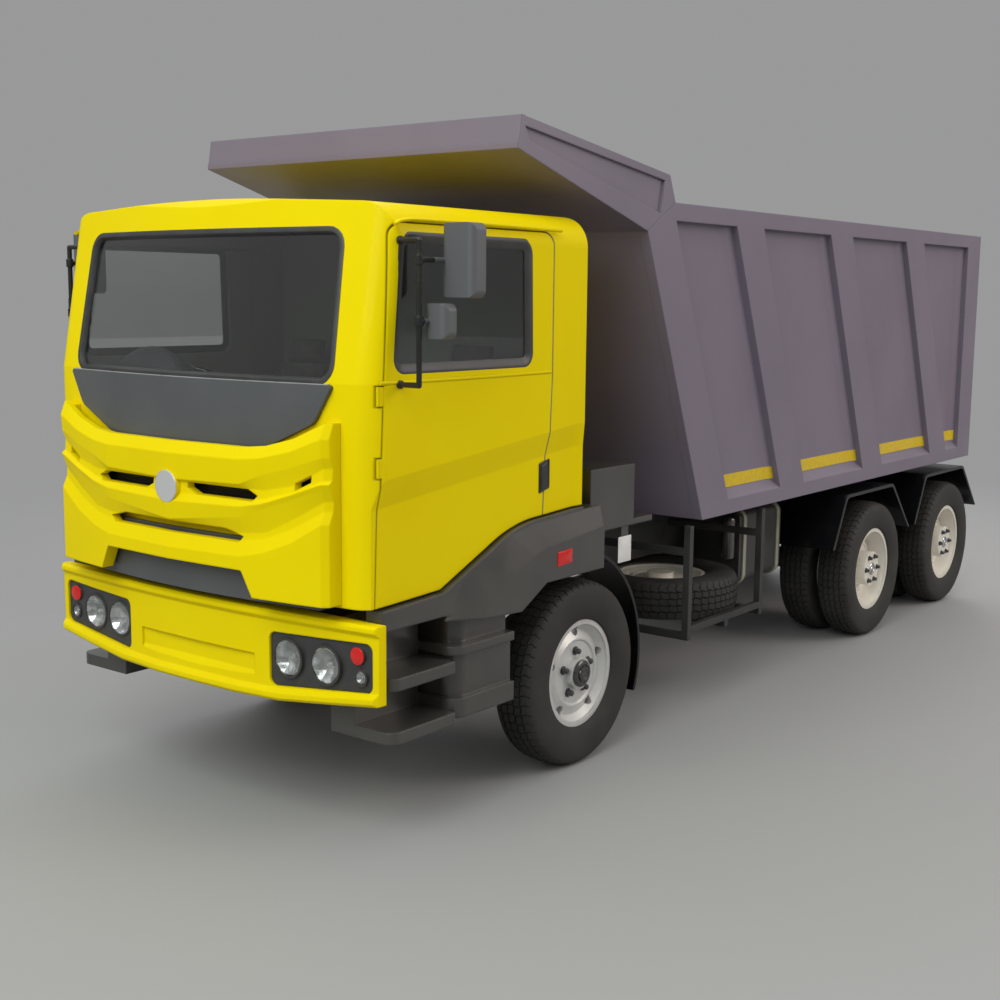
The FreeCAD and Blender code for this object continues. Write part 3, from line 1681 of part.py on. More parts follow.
def side_box():
    """Battery and air-cleaner box behind the cab, on a shelf over the frame."""
    box = block(
        "side_box_body",
        (s.box_inner, s.box_outer),
        (s.box_front, s.box_rear),
        (s.box_low, s.box_high),
    )
    shelf = block(
        "side_box_shelf",
        (s.rail_outer - s.rail_flange, s.box_outer),
        (s.box_front, s.shelf_rear),
        (s.box_low - s.shelf_thick, s.box_low),
    )
    post = block(
        "side_box_post",
        (s.rail_outer - s.rail_flange, s.rail_outer),
        (s.box_front, s.box_rear),
        (s.rail_top, s.box_low - s.shelf_thick),
    )
    node("side_boxes", *both_sides(join("side_box_whole", box, shelf, post)))


def tube_between(name, low, high):
    """Square tube between two corners; an axis with one place gets the tube's own width."""
    tube = s.side_guard_tube
    spans = []
    for first, last in zip(low, high):
        spans.append((first, last if last is not None else as_size(first) + tube))
    return block(name, *spans)


def side_carrier():
    """Cage of square tubes hung from the rail: it guards the side and carries the spare wheel."""
    tube = s.side_guard_tube
    outer = s.side_guard_x - tube
    low = s.side_guard_low - tube / 2
    front = s.side_guard_front
    tubes = []
    for number, y in enumerate((front, s.side_guard_rear)):
        post_low = (outer, y, low)
        tubes.append(tube_between(f"carrier_post_{number}", post_low, (None, None, s.side_guard_high)))
        arm_low = (s.rail_outer, y, s.rail_top - tube)
        tubes.append(tube_between(f"carrier_arm_{number}", arm_low, (outer, None, None)))
    tubes.append(tube_between("carrier_sill", (outer, front, low), (None, s.side_guard_rear + tube, None)))
    under = low - tube
    for number, y in enumerate((front, s.carrier_rear)):
        hanger_low = (s.rail_outer - tube, y, under)
        tubes.append(tube_between(f"carrier_hanger_{number}", hanger_low, (None, None, rail_low)))
    inner_low = (s.rail_outer - tube, front, under)
    tubes.append(tube_between("carrier_inner_sill", inner_low, (None, s.carrier_rear + tube, None)))
    cross_shares = (0, 0.5, 1)
    for number, share in enumerate(cross_shares):
        y = front + (s.side_guard_rear - front) * share
        cross_low = (s.rail_outer, y, under)
        tubes.append(tube_between(f"carrier_cross_{number}", cross_low, (outer + tube, None, None)))
    return join("side_carrier", *tubes)


def underrun_guards():
    """The side carriers before the drive wheels, and the tail bar."""
    guard = side_carrier()
    bar = block(
        "tail_bar",
        (-s.tail_bar_half, s.tail_bar_half),
        (s.tail_bar_y - s.tail_bar_thick, s.tail_bar_y),
        (s.tail_bar_low, s.tail_bar_high),
    )
    leg_x = (s.rail_outer - s.rail_flange, s.rail_outer)
    leg_y = (s.rail_rear - s.tail_bar_thick, s.rail_rear)
    leg = block("tail_bar_leg", leg_x, leg_y, (s.tail_bar_low, rail_low))
    stub_y = (s.rail_rear, s.tail_bar_y - s.tail_bar_thick)
    stub = block("tail_bar_stub", leg_x, stub_y, (s.tail_bar_low, s.tail_bar_high))
    node("underrun_guards", *both_sides(guard), join("tail_bar_whole", bar, *both_sides(leg, stub)))


def tanks():
    """Round-edged fuel tank on the left, and two air tanks on the right."""
    half = s.tank_half_wide
    section = [
        (s.tank_x - half, s.tank_low, s.tank_bend),
        (s.tank_x + half, s.tank_low, s.tank_bend),
        (s.tank_x + half, s.tank_high, s.tank_bend),
        (s.tank_x - half, s.tank_high, s.tank_bend),
    ]
    fuel = slab("fuel_tank", "front", section, s.tank_front, s.tank_rear)
    air = []
    for number in range(2):
        z = s.air_tank_z + s.air_tank_step * number
        start = s.tank_front + s.air_tank_radius
        air_y = (start, start + s.air_tank_long)
        air.append(rod(f"air_tank_{number}", "y", -s.air_tank_x, air_y, z, s.air_tank_radius))
    node("tanks", fuel, *air)


def tank_straps():
    """Bands that hold the fuel tank, hooked on the frame rail."""
    wide = s.tank_strap_wide
    thick = s.tank_strap_thick
    half = s.tank_half_wide
    straps = []
    ends = (s.tank_front + wide, s.tank_rear - wide * 2)
    for number, y in enumerate(ends):
        outer = slab(
            f"tank_strap_{number}_outer",
            "front",
            [
                (s.rail_outer, s.tank_low - thick),
                (s.tank_x + half + thick, s.tank_low - thick, s.tank_bend + thick),
                (s.tank_x + half + thick, s.tank_high + thick, s.tank_bend + thick),
                (s.rail_outer, s.tank_high + thick),
            ],
            y,
            y + wide,
        )
        inner = slab(
            f"tank_strap_{number}_inner",
            "front",
            [
                (s.rail_outer + thick, s.tank_low),
                (s.tank_x + half, s.tank_low, s.tank_bend),
                (s.tank_x + half, s.tank_high, s.tank_bend),
                (s.rail_outer + thick, s.tank_high),
            ],
            y - wide,
            y + wide * 2,
        )
        straps.append(cut(f"tank_strap_{number}", outer, inner))
    node("tank_straps", *straps)


def spare_wheel():
    """Spare wheel lying flat in its carrier beside the frame."""
    edge = s.front_rim_radius
    face = s.tyre_wide / 2
    rubber = tyre("spare_tyre_turned", face, 0, edge)
    hub = (s.front_hub_radius, face - s.front_dish * 2, face - s.rim_thick * 2, s.spindle_radius)
    disc = rim("spare_rim_disc", face, 0, edge, s.front_dish, hub)
    span = (-face, face)
    holes = hand_holes("spare_hand_hole", span, 0, s.front_hand_ring, s.front_hand_hole, FRONT_HOLES)
    metal = cut("spare_rim_turned", disc, *holes)
    middle_z = s.side_guard_low - s.side_guard_tube / 2 + s.rim_seat + s.tyre_wide / 2
    turn = FreeCAD.Rotation(AXES["y"], -quarter_turn)
    for thing, label, x in ((rubber, "spare_tyre", s.spare_x), (metal, "spare_rim", s.spare_x + wheel_z)):
        thing.Placement = FreeCAD.Placement(Vector(), turn)
        place(thing, x=x, y=s.spare_y, z=middle_z)
        node(label, thing)


def cab_underside(y):
    """Height of the cab's underside before the wheel arch, and behind the arch's top."""
    if y.number < -s.arch_front_y.number:
        slope = (s.arch_front_z - s.cab_floor) / (s.cab_point - s.arch_front_y)
        return s.cab_floor + (y + s.cab_point) * slope
    slope = (s.arch_rear_z - s.arch_top_z) / (s.arch_top_y - s.cab_rear)
    return s.arch_top_z + (y + s.arch_top_y) * slope


TRUNNION_SHARE = 1.5


def frame_brackets():
    """What the rails carry their loads on: horns, cab mounts, spring hangers, trunnions and arms."""
    inner = s.rail_outer - s.rail_flange
    flange_x = (inner, s.rail_outer)
    arms = []
    arms.append(block("bumper_horn", flange_x, (-s.bumper_back, -s.rail_front), (rail_low, s.rail_top)))
    for name, low_y in (("front_mount", -s.mount_y), ("rear_mount", -s.mount_rear_y - s.mount_long)):
        high_y = low_y + s.mount_long
        corners = [
            (low_y, s.rail_top),
            (high_y, s.rail_top),
            (high_y, cab_underside(high_y)),
            (low_y, cab_underside(low_y)),
        ]
        arms.append(slab(name, "side", corners, *flange_x))
    hanger_z = (front_spring_tip - s.hanger_long / 2, rail_low)
    for number, y in enumerate((-s.front_spring_half - s.hanger_long, s.front_spring_half)):
        arms.append(block(f"spring_hanger_{number}", spring_x, (y, y + s.hanger_long), hanger_z))
    trunnion_low = s.trunnion_z - s.trunnion_radius
    trunnion_reach = s.trunnion_radius * TRUNNION_SHARE
    trunnion_y = (tandem_y - trunnion_reach, tandem_y + trunnion_reach)
    hanger = block("trunnion_hanger", flange_x, trunnion_y, (trunnion_low, rail_low))
    stub_x = (inner, s.rail_outer + s.running_gap + s.spring_wide)
    stub = rod("trunnion_stub", "x", stub_x, tandem_y, s.trunnion_z, s.trunnion_radius)
    arms.append(join("trunnion", hanger, stub))
    step_y = (-s.step_box_front, -s.step_box_front + s.mount_long)
    step_z = (rail_low, rail_low + s.step_thick)
    arms.append(block("step_arm", (s.rail_outer, s.step_inner), step_y, step_z))
    guard_z = (s.guard_high - s.guard_thick, s.guard_high)
    for number, y in enumerate(axle_ys):
        for side in (-1, 1):
            start = y + s.guard_top_rear / 2 * side - s.guard_thick
            name = f"guard_arm_{number}_{side + 1}"
            span = (start, start + s.guard_thick * 2)
            arms.append(block(name, (s.rail_outer, s.guard_inner), span, guard_z))
    tank_plate = block(
        "air_tank_plate",
        (-s.air_tank_x + s.air_tank_radius, -s.rail_outer),
        (s.tank_front + s.air_tank_radius * 2, s.tank_front + s.air_tank_radius * 2 + s.mount_long),
        (s.air_tank_z - s.guard_thick, s.air_tank_z + s.air_tank_step + s.guard_thick),
    )
    node("frame_brackets", *both_sides(*arms), tank_plate)


def tail_lamps():
    """Lamp clusters at the ends of the tail bar."""
    lamp = block(
        "tail_lamp",
        (s.tail_bar_half - s.tail_lamp_wide, s.tail_bar_half),
        (s.tail_bar_y - s.tail_bar_thick, s.tail_bar_y),
        (s.tail_bar_high, s.tail_bar_high + s.tail_lamp_high),
    )
    node("tail_lamps", *both_sides(lamp))


def bed_sides():
    """Side walls of the bed: a thin sheet inside rails, borders and three leaning ribs."""
    outer = s.bed_half
    inner = s.bed_half - s.side_thick
    body = slab(
        "bed_side_body",
        "side",
        [
            (s.bed_front_low, s.bed_low),
            (s.bed_rear, s.bed_low),
            (s.bed_rear, s.bed_top),
            (s.rail_start_y, s.bed_top),
            (s.knee_y, s.knee_z),
        ],
        inner,
        outer,
    )
    foot = s.bed_low + s.foot_rail_high
    head = s.bed_top - s.top_rail_high
    lean = (head - foot) * s.rib_lean_share
    first = s.bed_front_low + s.front_border - s.foot_rail_high * s.rib_lean_share
    edges = [(first, s.rib_first)]
    for number in range(2):
        start = s.rib_first + s.rib_wide + s.rib_step * number
        edges.append((start, start + s.rib_step - s.rib_wide))
    start = s.rib_first + s.rib_wide + s.rib_step * 2
    edges.append((start, s.bed_rear - s.rear_border))
    sheet_x = inner + s.sheet_thick
    levels = (
        (sheet_x, s.ledge_high, s.fold_wide),
        (sheet_x + s.fold_deep, s.ledge_high * (outer - sheet_x - s.fold_deep) / (outer - sheet_x), 0),
        (outer, 0, 0),
    )
    pockets = []
    for number, (start, end) in enumerate(edges):
        end_share = 0 if number == len(edges) - 1 else s.rib_lean_share
        sections = []
        for x, ledge, fold in levels:
            corners = [
                (start - ledge * s.rib_lean_share, foot + ledge),
                (end - fold - ledge * end_share, foot + ledge),
                (end - fold - (head - foot) * end_share, head),
                (start - lean, head),
            ]
            sections.append((x, corners))
        pockets.append(loft(f"side_pocket_{number}", "side", sections))
    socket_x = (inner, inner + s.side_thick / 2)
    radius = s.gate_pin_radius + s.turning_fit
    pockets.append(rod("gate_pin_socket", "x", socket_x, s.gate_pin_y, s.gate_pin_z, radius))
    side = cut("bed_side", body, *pockets)
    node("bed_sides", *both_sides(side))


SILLS = 12
BEARER_END_SHARE = 3


def bed_floor():
    """Floor plate on cross sills and two bearers, with the lugs of the tipping pivot."""
    inner = s.bed_half - s.side_thick
    rear = s.gate_pin_y - s.gate_thick / 2 - s.gate_gap
    plate = block(
        "floor_plate",
        (-inner, inner),
        (floor_start, rear),
        (s.floor_z - s.floor_thick, s.floor_z),
    )
    sill_low = s.bed_low
    solids = [plate]
    for number in range(SILLS):
        y = floor_start + s.sill_step * number
        sill = block(
            f"cross_sill_{number}",
            (-inner, inner),
            (y, y + s.sill_wide),
            (sill_low, s.floor_z - s.floor_thick),
        )
        solids.append(sill)
    bearer_low = subframe_top + s.running_gap
    bearer_x = (s.rail_outer - s.bearer_wide, s.rail_outer)
    bearer_rear = s.tip_pivot_y - s.tip_lug_radius * BEARER_END_SHARE
    bearer_z = (bearer_low, s.floor_z - s.floor_thick)
    bearers = block("bearer", bearer_x, (floor_start, bearer_rear), bearer_z)
    solids.extend(both_sides(bearers))
    lug_x = (s.tip_lug_inner - s.tip_lug_thick, s.tip_lug_inner)
    lug = join(
        "tip_lug",
        rod("tip_lug_eye", "x", lug_x, s.tip_pivot_y, s.tip_pivot_z, s.tip_lug_radius),
        block(
            "tip_lug_web",
            lug_x,
            (s.tip_pivot_y - s.tip_lug_radius, s.tip_pivot_y + s.tip_lug_radius),
            (s.tip_pivot_z, s.floor_z - s.floor_thick),
        ),
    )
    solids.extend(both_sides(lug))
    eye_x = (s.hoist_eye_half + s.running_gap, s.hoist_eye_half + s.running_gap + s.tip_lug_thick / 2)
    eye_reach = s.hoist_eye_radius
    eye_web = block(
        "hoist_lug_web",
        eye_x,
        (s.hoist_eye_y - eye_reach, s.hoist_eye_y + eye_reach),
        (s.hoist_eye_z, s.floor_z - s.floor_thick),
    )
    eye_boss = rod("hoist_lug_eye", "x", eye_x, s.hoist_eye_y, s.hoist_eye_z, eye_reach)
    whole = cut("bed_floor_bay_cut", join("bed_floor_whole", *solids), block(
        "hoist_bay",
        (-s.hoist_bay_half, s.hoist_bay_half),
        (s.hoist_eye_y - s.hoist_bay_reach, s.hoist_base_y),
        (s.bed_low - s.floor_thick, s.floor_z - s.floor_thick),
    ))
    whole = join("bed_floor_lugged", whole, *both_sides(join("hoist_lug", eye_web, eye_boss)))
    bore_x = (-s.tip_lug_inner, s.tip_lug_inner)
    bore = rod("tip_bore", "x", bore_x, s.tip_pivot_y, s.tip_pivot_z, s.tip_pin_radius + s.kingpin_fit)
    eye_span = (-s.hoist_bay_half, s.hoist_bay_half)
    eye_bore = rod("hoist_lug_bore", "x", eye_span, s.hoist_eye_y, s.hoist_eye_z, s.hoist_pin_radius)
    node("bed_floor", cut("bed_floor_bored", whole, bore, eye_bore))


def pivot_shafts():
    """Crosswise shafts between the rails: one that the bed turns on, one that carries the hoist."""
    inner = s.rail_outer - s.subframe_wide
    span = (-inner, inner)
    tip = rod("tip_shaft", "x", span, s.tip_pivot_y, s.tip_pivot_z, s.tip_pin_radius)
    base_span = (-rail_inner, rail_inner)
    base = rod("hoist_shaft", "x", base_span, s.hoist_base_y, s.hoist_base_z, s.hoist_pin_radius)
    node("pivot_shafts", tip, base)


def canopy_cheek():
    """Side of the canopy, with a long shallow recess pressed into its outer face."""
    cheek = slab(
        "canopy_cheek",
        "side",
        [
            (s.knee_y, s.knee_z),
            (s.rail_start_y, s.bed_top),
            (s.canopy_rear_y, s.canopy_rear_z),
            (-s.canopy_front_high_y, s.canopy_front_high_z),
            (-s.canopy_front_low_y, s.canopy_front_low_z),
        ],
        s.bed_half - s.canopy_side,
        s.bed_half,
    )
    recess = slab(
        "cheek_recess",
        "side",
        [
            (-s.cheek_front_low_y, s.cheek_front_low),
            (s.cheek_foot_y, s.cheek_foot),
            (s.cheek_rear_y, s.cheek_rear_high),
            (-s.cheek_front_y, s.cheek_front_high),
        ],
        s.bed_half - s.cheek_deep,
        s.bed_half,
    )
    return cut("canopy_cheek_hollowed", cheek, recess)


def bed_front():
    """Sloping front wall of the bed and the canopy that reaches over the cab."""
    inner = s.bed_half - s.side_thick
    thick = s.side_thick
    wall = slab(
        "front_wall",
        "side",
        [
            (s.bed_front_low, s.bed_low),
            (s.bed_front_low + thick, s.bed_low),
            (s.knee_y + thick, s.knee_z),
            (s.knee_y, s.knee_z + s.canopy_sheet),
            (s.knee_y, s.knee_z),
        ],
        -inner,
        inner,
    )
    deck = slab(
        "canopy_deck",
        "side",
        [
            (s.knee_y, s.knee_z),
            (s.knee_y, s.knee_z + s.canopy_sheet),
            (-s.canopy_front_low_y, s.canopy_front_low_z + s.canopy_sheet),
            (-s.canopy_front_low_y, s.canopy_front_low_z),
        ],
        -s.bed_half,
        s.bed_half,
    )
    lip = slab(
        "canopy_lip",
        "side",
        [
            (-s.canopy_front_low_y, s.canopy_front_low_z),
            (-s.canopy_front_low_y + s.canopy_sheet, s.canopy_front_low_z),
            (-s.canopy_front_high_y + s.canopy_sheet, s.canopy_front_high_z),
            (-s.canopy_front_high_y, s.canopy_front_high_z),
        ],
        -s.bed_half,
        s.bed_half,
    )
    node("bed_front", join("bed_front_whole", wall, deck, lip, *both_sides(canopy_cheek())))


GATE_BAYS = 3


def tailgate():
    """Tail board hung from a crosswise pin at its top."""
    half = s.bed_half - s.side_thick - s.gate_gap
    y = (s.gate_pin_y - s.gate_thick / 2, s.gate_pin_y + s.gate_thick / 2)
    board = block("gate_board", (-half, half), y, (s.bed_low + s.gate_gap, s.gate_pin_z))
    pin_x = (-half - s.side_thick / 2, half + s.side_thick / 2)
    pin = rod("gate_pin", "x", pin_x, s.gate_pin_y, s.gate_pin_z, s.gate_pin_radius)
    pockets = []
    step = (half * 2 - s.gate_rib_wide) / GATE_BAYS
    for number in range(GATE_BAYS):
        low_x = -half + s.gate_rib_wide + step * number
        pocket = block(
            f"gate_pocket_{number}",
            (low_x, low_x + step - s.gate_rib_wide),
            (y[0] + s.sheet_thick, y[1]),
            (s.bed_low + s.gate_gap + s.gate_rib_wide, s.gate_pin_z - s.gate_rib_wide),
        )
        pockets.append(pocket)
    node("tailgate", cut("tailgate_cut", join("gate_whole", board, pin), *pockets))


def lean_hoist(thing, y, z):
    """Lays a hoist piece made along y on the line from its base pin to its eye."""
    rise = s.hoist_eye_z - s.hoist_base_z
    reach = s.hoist_base_y - s.hoist_eye_y
    angle = math.degrees(math.atan2(rise.number, reach.number))
    thing.Placement = FreeCAD.Placement(Vector(), FreeCAD.Rotation(AXES["x"], -angle))
    return place(thing, y=y, z=z)


# How far from the base pin the barrel's bore and the rod end, in eye radii
BORE_END_SHARE = 4
STEM_END_SHARE = 5


def hoist():
    """Hydraulic hoist between the rails: a barrel on its base pin, and the rod with its eye."""
    length = math.hypot(
        (s.hoist_base_y - s.hoist_eye_y).number,
        (s.hoist_eye_z - s.hoist_base_z).number,
    )
    length = Size(length, "sqrt((sizes.hoist_base_y - sizes.hoist_eye_y)^2"
                          " + (sizes.hoist_eye_z - sizes.hoist_base_z)^2)")
    half = s.hoist_eye_half
    lug = s.hoist_eye_radius
    head = length - s.hoist_rod_out
    barrel = join(
        "hoist_barrel_whole",
        rod("hoist_tube", "y", 0, (-head, -lug), 0, s.hoist_barrel_radius),
        rod("hoist_base_boss", "x", (-half, half), 0, 0, lug),
        block("hoist_base_web", (-half, half), (-lug, 0), (-lug / 2, lug / 2)),
    )
    base_bore = rod("hoist_base_bore", "x", (-half * 2, half * 2), 0, 0, s.hoist_pin_radius + s.kingpin_fit)
    bore_y = (-length, -lug * BORE_END_SHARE)
    stem_y = (-length, -lug * STEM_END_SHARE)
    rod_bore = rod("hoist_rod_bore", "y", 0, bore_y, 0, s.hoist_rod_radius + s.hoist_fit)
    hollow = cut("hoist_barrel_cut", barrel, base_bore, rod_bore)
    stem = rod("hoist_stem", "y", 0, stem_y, 0, s.hoist_rod_radius)
    eye = rod("hoist_eye", "x", (-half, half), -length, 0, lug)
    eye_room = rod("hoist_eye_bore", "x", (-half * 2, half * 2), -length, 0, s.hoist_pin_radius)
    sliding = cut("hoist_rod_whole", join("hoist_rod_solid", stem, eye), eye_room)
    for label, piece in (("hoist_barrel", hollow), ("hoist_rod", sliding)):
        node(label, lean_hoist(piece, s.hoist_base_y, s.hoist_base_z))


SEAT_FOOT_SHARE = 0.33


def seats():
    """Driver's and passenger's seats: a cushion and a back each."""
    section = [
        (-s.seat_front, s.seat_low, s.seat_bend),
        (-s.seat_rear, s.seat_low),
        (-s.seat_rear + s.seat_back_thick, s.seat_back_high, s.seat_bend),
        (-s.seat_rear, s.seat_back_high, s.seat_bend),
        (-s.seat_rear - s.seat_back_thick, s.seat_high),
        (-s.seat_front, s.seat_high, s.seat_bend),
    ]
    seat = slab("seat", "side", section, s.seat_x - s.seat_wide / 2, s.seat_x + s.seat_wide / 2)
    foot = block(
        "seat_foot",
        (s.seat_x - s.seat_wide * SEAT_FOOT_SHARE, s.seat_x + s.seat_wide * SEAT_FOOT_SHARE),
        (-s.seat_front + s.seat_bend * 2, -s.seat_rear - s.seat_bend),
        (s.cab_floor, s.seat_low),
    )
    fitted = common("seat_foot_fitted", foot, cab_form("seat_room", s.cab_wall))
    node("seats", *both_sides(join("seat_whole", seat, fitted)))


def column_frame(thing):
    """Sets a piece made along z on the steering column, which leans back to the driver."""
    turn = FreeCAD.Rotation(AXES["x"], -s.hand_wheel_tilt.number)
    thing.Placement = FreeCAD.Placement(Vector(), turn)
    return place(thing, x=-s.hand_wheel_x, y=-s.hand_wheel_y, z=s.hand_wheel_z)


def dashboard():
    """Dashboard across the cab under the windscreen, with the steering column."""
    room = cab_form("dash_room", s.cab_wall)
    section = [
        (-s.cab_point, s.dash_low),
        (-s.dash_rear, s.dash_low, s.dash_bend),
        (-s.dash_rear, s.dash_high, s.dash_bend),
        (-s.cab_point, s.dash_high),
    ]
    body = slab("dash_body", "side", section, -s.cab_half, s.cab_half)
    fitted = common("dashboard_fitted", body, room)
    column_z = (-s.column_long, -s.column_radius - s.turning_fit)
    column = column_frame(doc.addObject("Part::Compound", "column"))
    column.Links = [rod("column_rod", "z", 0, 0, column_z, s.column_radius)]
    node("dashboard", join("dashboard_whole", fitted, column))


def steering_wheel():
    """Hand wheel with its hub and three spokes, on the truck's right side."""
    ring = doc.addObject("Part::Torus", "hand_wheel_ring")
    ring.setExpression("Radius1", s.hand_wheel_radius.formula)
    ring.setExpression("Radius2", s.hand_wheel_tube.formula)
    tube = s.hand_wheel_tube
    hub = rod("hand_wheel_hub", "z", 0, 0, (-s.column_radius, s.column_radius), s.column_radius * 2)
    reach = s.hand_wheel_radius
    across = block("hand_wheel_bar", (-reach, reach), (-tube, tube), (-tube / 2, tube / 2))
    down = block("hand_wheel_spoke", (-tube, tube), (0, reach), (-tube / 2, tube / 2))
    wheel = column_frame(join("hand_wheel_whole", ring, hub, across, down))
    node("steering_wheel", wheel)


def mirror_head(name, x, front, rear, low, high, wide):
    """Mirror head rounded along its upright and its fore and aft edges."""
    bend = s.mirror_bend
    left = x - wide / 2
    right = x + wide / 2
    plan = [(left, front, bend), (right, front, bend), (right, rear), (left, rear)]
    face = [(left, low, bend), (right, low, bend), (right, high, bend), (left, high, bend)]
    upright = slab(name + "_plan", "plan", plan, low, high)
    across = slab(name + "_face", "front", face, front, rear)
    return common(name, upright, across)


def mirrors():
    """Two mirror heads a side on a C-shaped tube at the door's front edge."""
    arm_x = s.cab_half + s.mirror_arm_out
    tube = s.mirror_tube
    arm_y = -s.mirror_arm_y
    main = mirror_head(
        "mirror_head",
        s.cab_half + s.mirror_out,
        -s.mirror_front,
        -s.mirror_rear,
        s.mirror_low,
        s.mirror_high,
        s.mirror_wide,
    )
    wide = mirror_head(
        "wide_mirror_head",
        s.cab_half + s.wide_mirror_out,
        -s.wide_mirror_front,
        -s.wide_mirror_rear,
        s.wide_mirror_low,
        s.wide_mirror_high,
        s.wide_mirror_wide,
    )
    post_z = (s.mirror_arm_low, s.mirror_arm_high)
    solids = [main, wide, rod("mirror_post", "z", arm_x, arm_y, post_z, tube)]
    for number, z in enumerate((s.mirror_arm_low, s.mirror_arm_high)):
        solids.append(rod(f"mirror_arm_{number}", "x", (s.cab_half, arm_x), arm_y, z, tube))
        bend = doc.addObject("Part::Sphere", f"mirror_bend_{number}")
        bend.setExpression("Radius", tube.formula)
        solids.append(place(bend, x=arm_x, y=arm_y, z=z))
        foot_x = (s.cab_half, s.cab_half + s.mirror_tube)
        solids.append(rod(f"mirror_foot_{number}", "x", foot_x, arm_y, z, s.mirror_collar))
    heads = (
        ("main", s.mirror_low, s.mirror_high, -s.mirror_front),
        ("wide", s.wide_mirror_low, s.wide_mirror_high, -s.wide_mirror_front),
    )
    for name, low, high, front in heads:
        middle = (low + high) / 2
        collar_z = (middle - s.mirror_collar_high / 2, middle + s.mirror_collar_high / 2)
        solids.append(rod(f"mirror_collar_{name}", "z", arm_x, arm_y, collar_z, s.mirror_collar))
        neck = (arm_y, front + s.mirror_bend)
        solids.append(rod(f"mirror_neck_{name}", "y", arm_x + tube, neck, middle, tube))
    whole = join("mirror_whole", *solids)
    node("mirror_left", whole)
    node("mirror_right", mirrored(whole))


frame_rails()
subframe_rails()
crossmembers()
engine_block()
axles()
leaf_springs()
propshafts()
front_wheels()
rear_wheels()
knuckle()
cab()
front_panel()
windscreen_band()
bumper()
headlamps()
steps()
arch_trims()
mudguards()
side_box()
underrun_guards()
tanks()
tank_straps()
spare_wheel()
frame_brackets()
tail_lamps()
bed_sides()
bed_floor()
pivot_shafts()
bed_front()
tailgate()
hoist()
seats()
dashboard()
steering_wheel()
mirrors()

doc.recompute()
for thing in doc.Objects:
    if "Invalid" in thing.State or "Error" in thing.State:
        raise RuntimeError(f"{thing.Name} failed: {thing.State}")
os.makedirs("parts", exist_ok=True)
for piece in nodes:
    shape = piece.Shape
    if shape.isNull() or not shape.isValid() or not shape.Solids:
        raise RuntimeError(f"{piece.Label} has no valid solid")
    shape.exportStep(f"parts/{piece.Label}.step")
    print(piece.Label, len(shape.Solids), round(shape.Volume / 1e6, 1))
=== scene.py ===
import math
import bmesh
import bpy
import numpy as np
from mathutils import Matrix, Vector


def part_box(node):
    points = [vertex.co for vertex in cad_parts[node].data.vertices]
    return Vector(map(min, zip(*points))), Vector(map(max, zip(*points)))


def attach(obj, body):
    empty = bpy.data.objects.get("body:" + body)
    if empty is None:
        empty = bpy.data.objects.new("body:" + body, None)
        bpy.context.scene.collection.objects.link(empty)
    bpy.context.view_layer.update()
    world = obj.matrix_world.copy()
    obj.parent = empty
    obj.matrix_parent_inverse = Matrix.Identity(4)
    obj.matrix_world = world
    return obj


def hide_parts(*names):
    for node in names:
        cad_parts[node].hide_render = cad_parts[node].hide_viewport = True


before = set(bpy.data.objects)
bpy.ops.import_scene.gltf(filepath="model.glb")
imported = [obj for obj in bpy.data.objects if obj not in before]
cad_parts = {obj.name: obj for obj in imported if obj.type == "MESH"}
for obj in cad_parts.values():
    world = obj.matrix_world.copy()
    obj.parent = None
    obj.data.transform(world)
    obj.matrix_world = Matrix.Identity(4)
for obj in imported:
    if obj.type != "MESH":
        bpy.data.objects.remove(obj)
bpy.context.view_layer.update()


# Studio. A pale floor and a wide soft light from the front left and above, with a weaker one
# from the other side. The camera has a 50 mm lens and stands where the photograph was taken.
studio_grey = (0.32, 0.32, 0.323)
camera_place = (5.4632, -8.4828, 2.6520)
camera_turn = 37.6875
camera_fall = 8.4294
camera_roll = 0.5372
air_grey = (0.82, 0.82, 0.82, 1)
air_levels = (("From Min", 0.0), ("From Max", 0.9), ("To Min", 0.26), ("To Max", 1.1))


def aimed(place, target):
    """Matrix of a lamp at a place whose light falls towards a target."""
    way = Vector(target) - Vector(place)
    return Matrix.Translation(place) @ way.to_track_quat("-Z", "Y").to_matrix().to_4x4()


def soft_lamp(name, place, target, size, power, colour=(1, 1, 1)):
    """Square soft light of a size in metres and a power in watts."""
    data = bpy.data.lights.new(name, "AREA")
    data.shape = "SQUARE"
    data.size = size
    data.energy = power
    data.color = colour
    lamp = bpy.data.objects.new(name, data)
    bpy.context.scene.collection.objects.link(lamp)
    lamp.matrix_world = aimed(place, target)


soft_lamp("soft_key", (2.0, -13.0, 10.0), (0, -1.0, 1.4), 10.0, 1330, (0.94, 1.0, 0.93))
soft_lamp("soft_side", (12.0, 6.0, 8.0), (0, 1.5, 1.6), 8.0, 800, (1, 0.90, 0.80))
soft_lamp("soft_tail", (-6.0, 11.0, 7.0), (0, 2.0, 1.6), 8.0, 420)

studio = bpy.context.scene
studio.view_settings.view_transform = "Standard"
world = bpy.data.worlds.new("studio_air")
studio.world = world
world.use_nodes = True
sky_nodes = world.node_tree.nodes
sky_links = world.node_tree.links
air = sky_nodes["Background"]
air.inputs["Color"].default_value = air_grey
sky_way = sky_nodes.new("ShaderNodeTexCoord")
sky_parts = sky_nodes.new("ShaderNodeSeparateXYZ")
sky_light = sky_nodes.new("ShaderNodeMapRange")
for socket, value in air_levels:
    sky_light.inputs[socket].default_value = value
sky_links.new(sky_way.outputs["Generated"], sky_parts.inputs[0])
sky_links.new(sky_parts.outputs["Z"], sky_light.inputs["Value"])
sky_links.new(sky_light.outputs["Result"], air.inputs["Strength"])
seen_air = sky_nodes.new("ShaderNodeBackground")
seen_air.inputs["Color"].default_value = (*studio_grey, 1)
seen_air.inputs["Strength"].default_value = 1.0
rays = sky_nodes.new("ShaderNodeLightPath")
either = sky_nodes.new("ShaderNodeMixShader")
